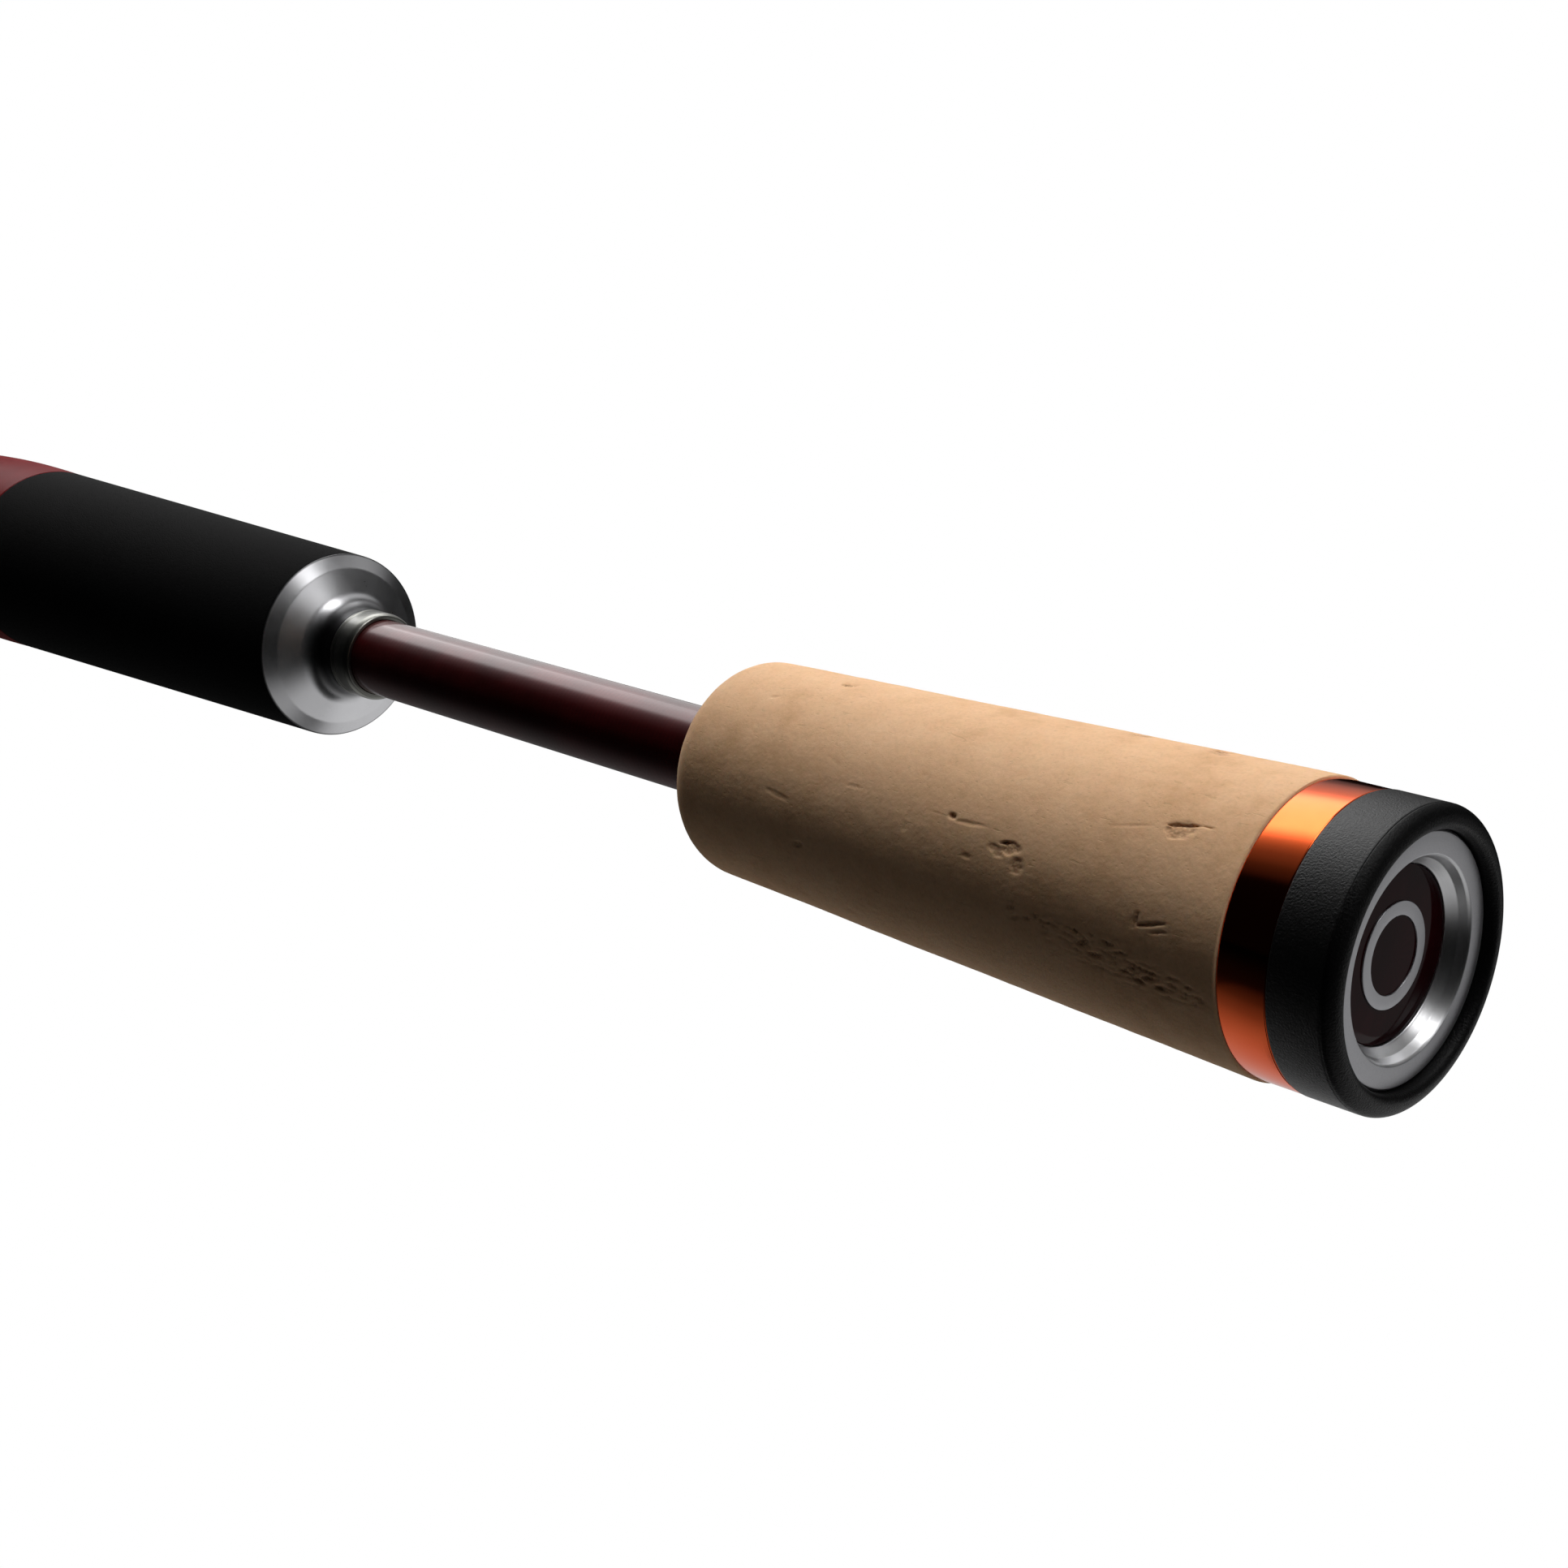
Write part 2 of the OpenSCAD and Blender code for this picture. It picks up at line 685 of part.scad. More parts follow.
// Tip ring height above the axis
tube_x = tip_stop - tip_tube_len;
tube_r = blank_at(tube_x) + 0.5;
tip_out = tip_ring_d / 2 + ring_t + 0.7;
tip_z = tip_out + 0.5;

module tip_frame() {
    color(gun_c) {
        difference() {
            union() {
                along(tube_x, tip_ring_x + 0.6 - tube_x, tube_r);
                for (s = [-1, 1])
                    bar([tube_x + 3, s * (tube_r - 0.25), 0.3], [tip_ring_x, s * (tip_out - 0.35), tip_z], 0.45);
            }
            along(tube_x - 1, tip_stop + 0.02 - tube_x + 1, blank_at(tube_x - 1) + 0.04, tip_r + 0.04);
            ring_space(tip_ring_x, tip_z, tip_ring_d / 2, 4);
        }
        hoop(tip_ring_x, tip_z, tip_ring_d / 2);
    }
}

module tip_ring() {
    ceramic_ring(tip_ring_x, tip_z, tip_ring_d / 2);
}

module tip_wrap() {
    len = 12;
    x0 = tube_x - len - 0.2;
    color(thread_c)
        difference() {
            along(x0, len, blank_at(x0) + wrap_t, blank_at(x0 + len) + wrap_t);
            along(x0 - 1, len + 2, blank_at(x0 - 1) + 0.02, blank_at(x0 + len + 1) + 0.02);
        }
}

butt_bumper();
butt_cap();
end_plug();
inlay_disc();
inlay_ring();
copper_ring();
cork_grip();
blank();
collar();
flare();
foam_grip();
seat_body();
rear_arbor();
front_arbor();
fixed_hood();
sliding_hood();
lock_nut();
fore_grip();
front_check();
front_wrap();
keeper_base();
keeper_loop();
keeper_wrap_rear();
keeper_wrap_front();
guide_1_frame();
guide_2_frame();
guide_3_frame();
guide_4_frame();
guide_5_frame();
guide_6_frame();
guide_1_ring();
guide_2_ring();
guide_3_ring();
guide_4_ring();
guide_5_ring();
guide_6_ring();
guide_1_wrap_rear();
guide_1_wrap_front();
guide_2_wrap_rear();
guide_2_wrap_front();
guide_3_wrap();
guide_4_wrap();
guide_5_wrap();
guide_6_wrap();
tip_frame();
tip_ring();
tip_wrap();
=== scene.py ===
import math
import random

import bmesh
import bpy
from mathutils import Matrix, Vector, noise


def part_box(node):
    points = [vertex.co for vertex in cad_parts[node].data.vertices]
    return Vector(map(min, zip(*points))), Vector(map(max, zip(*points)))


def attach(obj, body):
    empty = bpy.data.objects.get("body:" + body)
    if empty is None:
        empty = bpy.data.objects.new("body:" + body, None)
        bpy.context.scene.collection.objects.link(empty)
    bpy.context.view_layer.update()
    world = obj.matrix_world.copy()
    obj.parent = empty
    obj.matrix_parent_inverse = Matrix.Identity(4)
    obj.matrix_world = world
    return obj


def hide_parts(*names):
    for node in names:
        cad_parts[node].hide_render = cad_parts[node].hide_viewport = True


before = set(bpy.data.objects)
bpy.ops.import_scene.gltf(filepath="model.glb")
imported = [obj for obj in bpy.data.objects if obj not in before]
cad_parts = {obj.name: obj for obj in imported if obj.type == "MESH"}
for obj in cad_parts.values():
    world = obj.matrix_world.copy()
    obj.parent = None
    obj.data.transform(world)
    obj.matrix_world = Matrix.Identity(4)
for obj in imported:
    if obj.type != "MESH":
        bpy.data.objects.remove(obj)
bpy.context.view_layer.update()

MM = 0.001
TURN = 2 * math.pi


# Sizes in mm, from the frame where it has them

def box(node):
    """Low and high corner of a node."""
    return [[c / MM for c in corner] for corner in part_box(node)]


def span(node):
    """Start, end and radius of a turned node."""
    low, high = box(node)
    return low[0], high[0], high[1]


glue = 0.05
_, parting, cap_r = span("butt_bumper")
rim_x, plug_tail, rim_r = span("end_plug")
inlay_x, inlay_back, inlay_r = span("inlay_disc")
badge_x, _, badge_r = span("inlay_ring")
ring_x, cork_x, ring_r = span("copper_ring")
_, cap_end, _ = span("butt_cap")
_, cork_end, cork_r = span("cork_grip")
blank_x, tip_stop, blank_r = span("blank")
_, taper_x, _ = span("front_wrap")
collar_x, collar_end, collar_r = span("collar")
neck_x, flare_end, flare_r = span("flare")
foam_x, foam_end, foam_r = span("foam_grip")
fore_x, fore_end, fore_r = span("fore_grip")
check_x, check_end, check_r = span("front_check")
_, seat_end, _ = span("seat_body")
hood_x, hood_end, _ = span("fixed_hood")
slide_x, _, _ = span("sliding_hood")
nut_x, nut_end, nut_r = span("lock_nut")

blank_wall = 1.1
tip_r = 1.1
sleeve_r = -box("blank")[0][2] + glue  # bore of all that slides over the blank
mouth_r = 8.8  # the end plug's recess, at its face
spigot_r = cap_r - 2.0  # the cap's stem under the copper ring and the cork
tail_r = 8.4  # the seat's stems inside both foam grips
thread_pitch = 2.0


# Node trees, for the finishes and for the shapes

def pick(sockets, key):
    """The socket of that number, or the first one in use of that name."""
    if isinstance(key, int):
        return sockets[key]
    return next(s for s in sockets if s.enabled and key in (s.name, s.identifier))


def operators(operation):
    """The Math node for an operator, and for its reflected form."""
    return (lambda a, b: a.math(operation, b)), (lambda a, b: a.work.math(operation, b, a))


class Value:
    """One socket of a node tree. Sums written with it add Math nodes."""

    def __init__(self, work, socket):
        self.work, self.socket = work, socket

    def of(self, name):
        return Value(self.work, pick(self.socket.node.outputs, name))

    def math(self, operation, *others):
        return self.work.math(operation, self, *others)

    __add__, __radd__ = operators("ADD")
    __sub__, __rsub__ = operators("SUBTRACT")
    __mul__, __rmul__ = operators("MULTIPLY")
    __truediv__, __rtruediv__ = operators("DIVIDE")
    __pow__, __rpow__ = operators("POWER")
    __gt__, __lt__ = operators("GREATER_THAN")


class Work:
    """A node tree that is being made."""

    def __init__(self, tree):
        self.tree = tree

    def node(self, kind, inputs=None, out=0, **settings):
        made = self.tree.nodes.new(kind)
        for key, value in settings.items():
            setattr(made, key, value)
        for key, value in (inputs or {}).items():
            socket = pick(made.inputs, key)
            if isinstance(value, Value):
                self.tree.links.new(value.socket, socket)
            else:
                socket.default_value = value
        return Value(self, pick(made.outputs, out)) if len(made.outputs) else made

    def math(self, operation, *values):
        return self.node("ShaderNodeMath", dict(enumerate(values)), operation=operation)

    def axes(self, vector):
        split = self.node("ShaderNodeSeparateXYZ", {"Vector": vector})
        return split.of("X"), split.of("Y"), split.of("Z")

    def vector(self, x, y, z):
        return self.node("ShaderNodeCombineXYZ", {"X": x, "Y": y, "Z": z})

    def band(self, value, low, high):
        """0 at low, 1 at high and smooth between them."""
        return self.node("ShaderNodeMapRange", {"Value": value, "From Min": low, "From Max": high},
                         interpolation_type="SMOOTHSTEP")

    def mix(self, share, a, b):
        a, b = ((*c, 1.0) if isinstance(c, tuple) else c for c in (a, b))
        return self.node("ShaderNodeMix", {"Factor": share, "A": a, "B": b}, "Result", data_type="RGBA")

    def ramp(self, value, stops):
        made = self.node("ShaderNodeValToRGB", {"Fac": value}, "Color")
        ramp = made.socket.node.color_ramp.elements
        while len(ramp) < len(stops):
            ramp.new(1.0)
        for stop, (at, colour) in zip(ramp, stops):
            stop.position, stop.color = at, (*colour, 1.0)
        return made


FINISH = {}


class Finish(Work):
    """A material, kept under its name. Its lengths are millimetres of the rod's own frame."""

    def __init__(self, name, **constants):
        self.material = FINISH[name] = bpy.data.materials.new(name)
        self.material.use_nodes = True
        super().__init__(self.material.node_tree)
        self.shader = self.tree.nodes["Principled BSDF"]
        for key, value in constants.items():
            self.shader.inputs[key.replace("_", " ")].default_value = value
        place = self.node("ShaderNodeTexCoord", out="Object")
        self.mm = self.node("ShaderNodeVectorMath", {"Vector": place, "Scale": 1 / MM}, operation="SCALE")
        self.x, self.y, self.z = self.axes(self.mm)
        self.r = (self.y * self.y + self.z * self.z) ** 0.5

    def stretched(self, stretch):
        if not stretch:
            return self.mm
        return self.node("ShaderNodeVectorMath", {0: self.mm, 1: stretch}, operation="MULTIPLY")

    def noise(self, scale, detail=2.0, rough=0.5, stretch=None, at=None):
        at = self.stretched(stretch) if at is None else at
        return self.node("ShaderNodeTexNoise",
                         {"Vector": at, "Scale": scale, "Detail": detail, "Roughness": rough})

    def lathe(self, scale, across=1.0):
        """Fine rings round the rod, as a turning tool leaves them."""
        return self.noise(scale, 2.0, 0.6, at=self.vector(self.x, self.r * across, 0.0))

    def scratches(self):
        return self.band(self.noise(1.6, 2.0, 0.5, stretch=(6.0, 0.5, 6.0)), 0.68, 0.72)

    def cells(self, scale, stretch=None):
        """How far each spot is from the middle of its cell."""
        at = self.stretched(stretch)
        return self.node("ShaderNodeTexVoronoi", {"Vector": at, "Scale": scale}, "Distance")

    def mark(self, name):
        """A value that the mesh itself carries."""
        return self.node("ShaderNodeAttribute", out="Fac", attribute_name=name)

    def give(self, colour, rough, height, depth, strength, over=None, **more):
        """Colour, roughness and a fine relief, depth in mm."""
        relief = {"Height": height, "Distance": depth * MM, "Strength": strength}
        if over is not None:
            relief["Normal"] = over
        normal = self.node("ShaderNodeBump", relief)
        for key, value in {"Base Color": colour, "Roughness": rough, "Normal": normal, **more}.items():
            self.tree.links.new(value.socket, self.shader.inputs[key])


# Finishes

def tinted(tone, share, more=0.0):
    return tuple(min(1.0, share * c + more) for c in tone)


def rubber(name, tone, rough, gloss):
    f = Finish(name, Specular_IOR_Level=gloss)
    grain = f.noise(5.5, 3.0, 0.6)
    cloud = f.noise(0.35, 2.0)
    dust = f.band(f.noise(2.2, 4.0, 0.7), 0.63, 0.8)
    colour = f.mix(dust * 0.5, f.mix(cloud, tinted(tone, 0.7), tone), tinted(tone, 1.9))
    f.give(colour, rough - 0.08 + 0.16 * grain, grain, 0.09, 0.8)


def foam(name, tone):
    f = Finish(name, Specular_IOR_Level=0.04)
    pores = f.band(f.cells(3.4), 0.04, 0.42)
    fine = f.noise(9.0, 3.0, 0.65)
    cloud = f.noise(0.22, 3.0)
    nap = f.band(f.noise(1.1, 3.0, 0.7), 0.58, 0.8)
    colour = f.mix(pores, tinted(tone, 0.45), f.mix(cloud, tinted(tone, 0.8), tinted(tone, 1.15)))
    colour = f.mix(nap * 0.45, colour, tinted(tone, 1.7))
    f.give(colour, 0.74 + 0.2 * fine, pores * 0.6 + fine * 0.4, 0.07, 0.8)


def turned_metal(name, tone, rough, marks):
    f = Finish(name, Metallic=1.0)
    ring = f.lathe(marks)
    blotch = f.noise(0.5, 3.0, 0.6)
    scratch = f.scratches()
    colour = f.mix(blotch, tinted(tone, 0.9), tone)
    rough += 0.07 * ring + 0.09 * blotch + 0.1 * scratch - 0.06
    f.give(colour, rough, ring + scratch * 0.35, 0.006, 0.6)


def flare_finish(name):
    """Satin turned metal, with painted shade darkening the root round the blank, and dark at the edge against
    the foam.
    """
    f = Finish(name, Metallic=1.0)
    blotch = f.noise(0.5, 3.0, 0.6)
    haze = f.noise(4.0, 3.0, 0.6)
    colour = f.mix(blotch, (0.74, 0.74, 0.76), (0.82, 0.82, 0.84))
    # painted shade: the root round the blank is darkened to near black, standing in for the shadow that falls
    # beside the neck
    colour = f.mix(f.band(f.r, collar_r + 1.6, collar_r), colour, (0.035, 0.035, 0.036))
    colour = f.mix(f.band(f.r, flare_r - 0.25, flare_r - 0.05) * 0.9, colour, (0.02, 0.02, 0.02))
    f.give(colour, 0.235 + 0.08 * blotch + 0.04 * haze, f.lathe(16.0), 0.003, 0.5)


def plug_finish(name):
    """Matt blasted face round a polished recess."""
    f = Finish(name, Metallic=1.0)
    face = f.band(f.r, mouth_r - 0.08, mouth_r + 0.04)
    ring = f.lathe(9.0)
    grit = f.noise(7.0, 3.0, 0.65)
    blotch = f.noise(0.6, 3.0, 0.6)
    bright = f.mix(blotch, (0.64, 0.64, 0.65), (0.76, 0.76, 0.77))
    matt = f.mix(grit, (0.46, 0.46, 0.48), (0.62, 0.62, 0.64))
    rough = 0.28 + 0.07 * ring + 0.06 * f.scratches() + face * (0.12 + 0.1 * grit)
    f.give(f.mix(face, bright, matt), rough, ring * (1.0 - face) + face * grit * 2.0, 0.008, 0.6)


def anodised(name, tone, rough, deep):
    """Coloured metal with fine brush lines round the rod."""
    f = Finish(name, Metallic=1.0)
    line = f.lathe(16.0, 0.3)
    cloud = f.noise(0.3, 3.0)
    wear = f.band(f.noise(1.3, 5.0, 0.7), 0.66, 0.78)
    colour = f.mix(f.band(cloud, 0.3, 0.75) * 0.5, tone, deep)
    colour = f.mix(wear * 0.18, colour, tinted(tone, 1.15, 0.05))
    f.give(colour, rough + 0.08 * line + 0.08 * wear, line, 0.004, 0.5)


def lacquer(name, tone, deep, flake, coat_rough, coat, rough=0.42, metal=0.0):
    """Tinted clear lacquer over wound cloth: the cloth shows faintly as a steep weave."""
    f = Finish(name, Coat_Weight=coat, Coat_Roughness=coat_rough, Coat_IOR=1.5, Specular_IOR_Level=0.0,
               Metallic=metal)
    along, around = f.x * 5.2, f.math("ARCTAN2", f.y, f.z) * 9.0
    weave = (along + around).math("SINE") * (along - around).math("SINE")
    cloud = f.noise(0.12, 3.0)
    spark = f.band(f.cells(11.0), 0.22, 0.05)
    colour = f.mix(f.band(cloud, 0.25, 0.75), deep, tone)
    colour = f.mix(f.band(weave, -0.4, 1.0) * 0.35, colour, deep)
    colour = f.mix(spark * flake, colour, tinted(tone, 3.0, 0.01))
    f.give(colour, rough + 0.1 * f.noise(1.0, 2.0), weave + 0.5 * f.noise(3.0, 2.0), 0.006, 0.35)


def cork_finish(name):
    """Pressed cork: tan clouds, brown flecks and lines, and crumbs where the mesh is marked as torn."""
    f = Finish(name, Specular_IOR_Level=0.15, Subsurface_Weight=0.12, Subsurface_Scale=0.0012,
               Subsurface_Radius=(1.0, 0.32, 0.12))
    broad = f.noise(0.09, 3.0, 0.55, stretch=(0.7, 1.0, 1.0))
    patch = f.noise(0.35, 4.0, 0.6)
    grain = f.noise(2.6, 5.0, 0.7)
    fleck = f.band(f.noise(1.15, 3.0, 0.6, stretch=(1.0, 1.7, 1.7)), 0.635, 0.72)
    dot = f.band(f.cells(0.95, stretch=(0.8, 1.3, 1.3)), 0.13, 0.05)
    line = f.band(f.noise(0.7, 3.0, 0.6, stretch=(0.45, 2.2, 2.2)), 0.665, 0.71)
    crumb = f.cells(3.4)
    torn = f.band(f.mark("pit"), 0.05, 0.95)
    colour = f.ramp(broad * 0.5 + patch * 0.5, [
        (0.30, (0.72, 0.42, 0.222)), (0.48, (0.86, 0.53, 0.302)), (0.68, (0.92, 0.59, 0.352))])
    for share, brown in ((f.band(grain, 0.42, 0.72) * 0.16, (0.40, 0.24, 0.13)),
                         (fleck * 0.17, (0.36, 0.2, 0.1)),
                         (dot * 0.12, (0.3, 0.165, 0.085)),
                         (line * 0.15, (0.36, 0.2, 0.1)),
                         (torn * (0.25 + 0.6 * f.band(crumb, 0.2, 0.6)), (0.32, 0.165, 0.085))):
        colour = f.mix(share, colour, brown)
    height = grain * 0.5 + patch * 0.5 - dot * 0.15 - line * 0.15 - fleck * 0.1 - torn * crumb * 1.3
    f.give(colour, 0.72 + 0.2 * grain, height, 0.08, 0.75)


def thread_finish(name, tone, trim, trim_start, trim_end):
    """Varnished thread with a trim band near each end, placed by its share of the length from the middle."""
    f = Finish(name, Coat_Weight=1.0, Coat_Roughness=0.05, Coat_IOR=1.5, Specular_IOR_Level=0.35)
    edge = f.math("ABSOLUTE", f.mark("along") - 0.5)
    soft = 0.004
    band = f.band(edge, trim_start, trim_start + soft) * (1.0 - f.band(edge, trim_end, trim_end + soft))
    fibre = f.noise(7.0, 3.0, 0.6, stretch=(3.0, 0.6, 0.6))
    colour = f.mix(fibre, tinted(tone, 0.55), tinted(tone, 1.35))
    colour = f.mix(band, colour, f.mix(fibre, tinted(trim, 0.6), trim))
    f.give(colour, 0.32 + 0.2 * fibre, fibre, 0.02, 0.5, Metallic=band * 0.8)


def ceramic_finish(name):
    f = Finish(name, Coat_Weight=0.6, Coat_Roughness=0.06, IOR=2.1)
    mottle = f.noise(3.0, 4.0, 0.6)
    groove = f.band(f.noise(1.2, 2.0, 0.5, stretch=(9.0, 0.6, 0.6)), 0.62, 0.75)
    colour = f.mix(mottle, (0.012, 0.012, 0.015), (0.035, 0.036, 0.042))
    colour = f.mix(groove * 0.3, colour, (0.07, 0.07, 0.08))
    f.give(colour, 0.12 + 0.12 * mottle, groove + mottle, 0.004, 0.4)


def dark_metal(name, tone, rough, bare, soften=0.0):
    """Dark satin plating with faint brushing and pale worn spots. Edges may be softened, in mm."""
    f = Finish(name, Metallic=1.0)
    brush = f.noise(7.0, 2.0, 0.6, stretch=(0.35, 1.6, 1.6))
    cloud = f.noise(0.35, 3.0)
    wear = f.band(f.noise(1.5, 5.0, 0.72), 0.64, 0.76)
    colour = f.mix(cloud, tinted(tone, 0.75), tone)
    colour = f.mix(wear * 0.22, colour, bare)
    over = f.node("ShaderNodeBevel", {"Radius": soften * MM}, samples=4) if soften else None
    f.give(colour, rough - 0.05 + 0.12 * brush + 0.08 * wear, brush, 0.006, 0.5, over)


GUNMETAL, GUNMETAL_BARE = (0.1, 0.1, 0.105), (0.4, 0.4, 0.41)
rubber("butt_rubber", (0.003, 0.003, 0.0031), 0.4, 0.36)
rubber("bumper_rubber", (0.0025, 0.0025, 0.0026), 0.38, 0.13)
plug_finish("plug_metal")
flare_finish("flare_metal")
turned_metal("check_metal", (0.6, 0.6, 0.62), 0.25, 6.0)
turned_metal("nickel", (0.46, 0.46, 0.48), 0.34, 9.0)
turned_metal("keeper_wire", (0.62, 0.62, 0.64), 0.2, 4.0)
anodised("copper_anodised", (0.9, 0.14, 0.038), 0.07, (0.84, 0.115, 0.028))
anodised("collar_metal", (0.25, 0.25, 0.23), 0.25, (0.19, 0.19, 0.175))
lacquer("inlay_lacquer", (0.03, 0.0022, 0.004), (0.012, 0.001, 0.0016), 0.05, 0.06, 0.22, rough=0.3)
lacquer("blank_lacquer", (0.08, 0.0052, 0.0066), (0.036, 0.0024, 0.003), 0.12, 0.08, 0.62, metal=0.6)
lacquer("seat_lacquer", (0.18, 0.0095, 0.012), (0.125, 0.0058, 0.0078), 0.15, 0.3, 0.16)
cork_finish("cork")
foam("foam", (0.0046, 0.0046, 0.0047))
foam("arbor_foam", (0.12, 0.1, 0.075))
dark_metal("hood_metal", GUNMETAL, 0.3, GUNMETAL_BARE, 0.3)
dark_metal("nut_metal", GUNMETAL, 0.3, GUNMETAL_BARE)
dark_metal("guide_metal", (0.17, 0.17, 0.175), 0.24, (0.45, 0.45, 0.46))
thread_finish("wrap_thread", (0.075, 0.004, 0.008), (0.9, 0.3, 0.1), 0.405, 0.445)
ceramic_finish("ring_ceramic")


# Shapes that geometry nodes make

def tree_of(name, **sockets):
    """A new tree, ready to work on, and its inputs in the order given."""
    tree = bpy.data.node_groups.new(name, "GeometryNodeTree")
    for key, kind in sockets.items():
        tree.interface.new_socket(name=key.replace("_", " "), in_out="INPUT", socket_type="NodeSocket" + kind)
    tree.interface.new_socket(name="Shape", in_out="OUTPUT", socket_type="NodeSocketGeometry")
    w = Work(tree)
    given = w.node("NodeGroupInput")
    return w, [given.of(key.replace("_", " ")) for key in sockets]


def end_tree(w, shape, finish):
    smooth = w.node("GeometryNodeSetShadeSmooth", {"Geometry": shape})
    real = w.node("GeometryNodeRealizeInstances", {"Geometry": smooth})
    done = w.node("GeometryNodeSetMaterial", {"Geometry": real, "Material": finish})
    w.node("NodeGroupOutput", {0: done})
    return w.tree


def turned_tree():
    """Turns a row of points (along, radius) about the X axis, with flutes or a screw thread if asked for."""
    w, (profile, segments, flutes, flute_deep, flute_r, pitch, height, start, end, finish) = tree_of(
        "turned", Profile="Geometry", Segments="Int", Flutes="Int", Flute_Depth="Float", Flute_Radius="Float",
        Pitch="Float", Thread_Height="Float", Thread_Start="Float", Thread_End="Float", Finish="Material")
    count = w.node("GeometryNodeAttributeDomainSize", {"Geometry": profile}, "Point Count")
    grid = w.node("GeometryNodeMeshGrid", {
        "Size X": count - 1, "Size Y": 1.0, "Vertices X": count, "Vertices Y": segments + 1}, "Mesh")
    position = w.node("GeometryNodeInputPosition")
    row, turn, _ = w.axes(position)
    row = (row + (count - 1) * 0.5).math("ROUND")
    angle = (turn + 0.5) * TURN
    point = w.node("GeometryNodeSampleIndex", {"Geometry": profile, "Value": position, "Index": row},
                   data_type="FLOAT_VECTOR")
    along, radius, _ = w.axes(point)
    wave = 0.5 + 0.5 * (angle * flutes).math("COSINE")
    flute = flute_deep * wave ** 3.0 * (radius > flute_r)
    rise, fall, seam = (0.12, 0.34), (0.62, 0.84), 0.0012  # a thread's flanks, in shares of its pitch
    phase = (along / pitch - turn).math("FRACT")
    ridge = w.band(phase, *rise) * (1.0 - w.band(phase, *fall))
    inside = w.band(along, start, start + pitch) * (1.0 - w.band(along, end - pitch, end))
    radius = radius - flute + height * ridge * inside
    place = w.vector(along, radius * angle.math("SINE"), radius * angle.math("COSINE"))
    moved = w.node("GeometryNodeSetPosition", {"Geometry": grid, "Position": place})
    closed = w.node("GeometryNodeMergeByDistance", {"Geometry": moved, "Distance": seam * MM})
    return end_tree(w, closed, finish)


def wound_tree():
    """Thread wound side by side along X, on a cone that may sit off the axis."""
    w, (_, start, length, start_r, end_r, lift, turns, thread_r, finish) = tree_of(
        "wound", Path="Geometry", Start="Float", Length="Float", Start_Radius="Float", End_Radius="Float",
        Lift="Float", Turns="Float", Thread_Radius="Float", Finish="Material")
    steps, sides = 40, 6  # of a turn, and round the thread
    helix = w.node("GeometryNodeCurveSpiral", {
        "Resolution": steps, "Rotations": turns, "Height": length,
        "Start Radius": start_r, "End Radius": end_r})
    share = w.node("GeometryNodeSplineParameter", out="Factor")
    marked = w.node("GeometryNodeStoreNamedAttribute", {"Geometry": helix, "Name": "along", "Value": share},
                    data_type="FLOAT", domain="POINT")
    strand = w.node("GeometryNodeCurvePrimitiveCircle", {"Resolution": sides, "Radius": thread_r})
    tube = w.node("GeometryNodeCurveToMesh", {"Curve": marked, "Profile Curve": strand, "Fill Caps": True})
    laid = w.node("GeometryNodeTransform", {
        "Geometry": tube, "Translation": w.vector(start, 0.0, lift), "Rotation": (0.0, math.pi / 2, 0.0)})
    return end_tree(w, laid, finish)


def wire_tree():
    """Round wire along a path of points."""
    w, (points, radius, sides, finish) = tree_of(
        "wire", Path="Geometry", Radius="Float", Sides="Int", Finish="Material")
    path = w.node("GeometryNodeMeshToCurve", {"Mesh": points})
    ring = w.node("GeometryNodeCurvePrimitiveCircle", {"Resolution": sides, "Radius": radius})
    tube = w.node("GeometryNodeCurveToMesh", {"Curve": path, "Profile Curve": ring, "Fill Caps": True})
    return end_tree(w, tube, finish)


TURNED, WOUND, WIRE = turned_tree(), wound_tree(), wire_tree()


# Making meshes and putting them in place

def placed(name, data):
    thing = bpy.data.objects.new(name, data)
    bpy.context.scene.collection.objects.link(thing)
    return thing


def baked(thing):
    """The plain mesh of an object with its modifiers. The object goes."""
    made = bpy.data.meshes.new_from_object(thing.evaluated_get(bpy.context.evaluated_depsgraph_get()))
    thing.modifiers.clear()
    bpy.data.objects.remove(thing)
    return made


def dressed(mesh, finish):
    """The mesh in one finish all over."""
    mesh.materials.clear()
    mesh.materials.append(finish)
    mesh.polygons.foreach_set("material_index", [0] * len(mesh.polygons))
    return mesh


def outward(mesh, sharp=34.0):
    """Closed faces turned outward, smooth but for edges past that angle."""
    work = bmesh.new()
    work.from_mesh(mesh)
    bmesh.ops.recalc_face_normals(work, faces=work.faces)
    work.to_mesh(mesh)
    work.free()
    mesh.polygons.foreach_set("use_smooth", [True] * len(mesh.polygons))
    mesh.set_sharp_from_angle(angle=math.radians(sharp))
    return mesh


def grown(tree, points, **sizes):
    """The plain mesh that a tree makes of a row of points in mm."""
    row = bpy.data.meshes.new("row")
    edges = [(i, i + 1) for i in range(len(points) - 1)]
    row.from_pydata([tuple(c * MM for c in p) for p in points], edges, [])
    maker = placed("maker", row)
    modifier = maker.modifiers.new("shape", "NODES")
    modifier.node_group = tree
    sockets = {s.name: s.identifier for s in tree.interface.items_tree if s.in_out == "INPUT"}
    for key, value in sizes.items():
        modifier[sockets[key.replace("_", " ")]] = value
    made = baked(maker)
    bpy.data.meshes.remove(row)
    return dressed(made, sizes["Finish"])


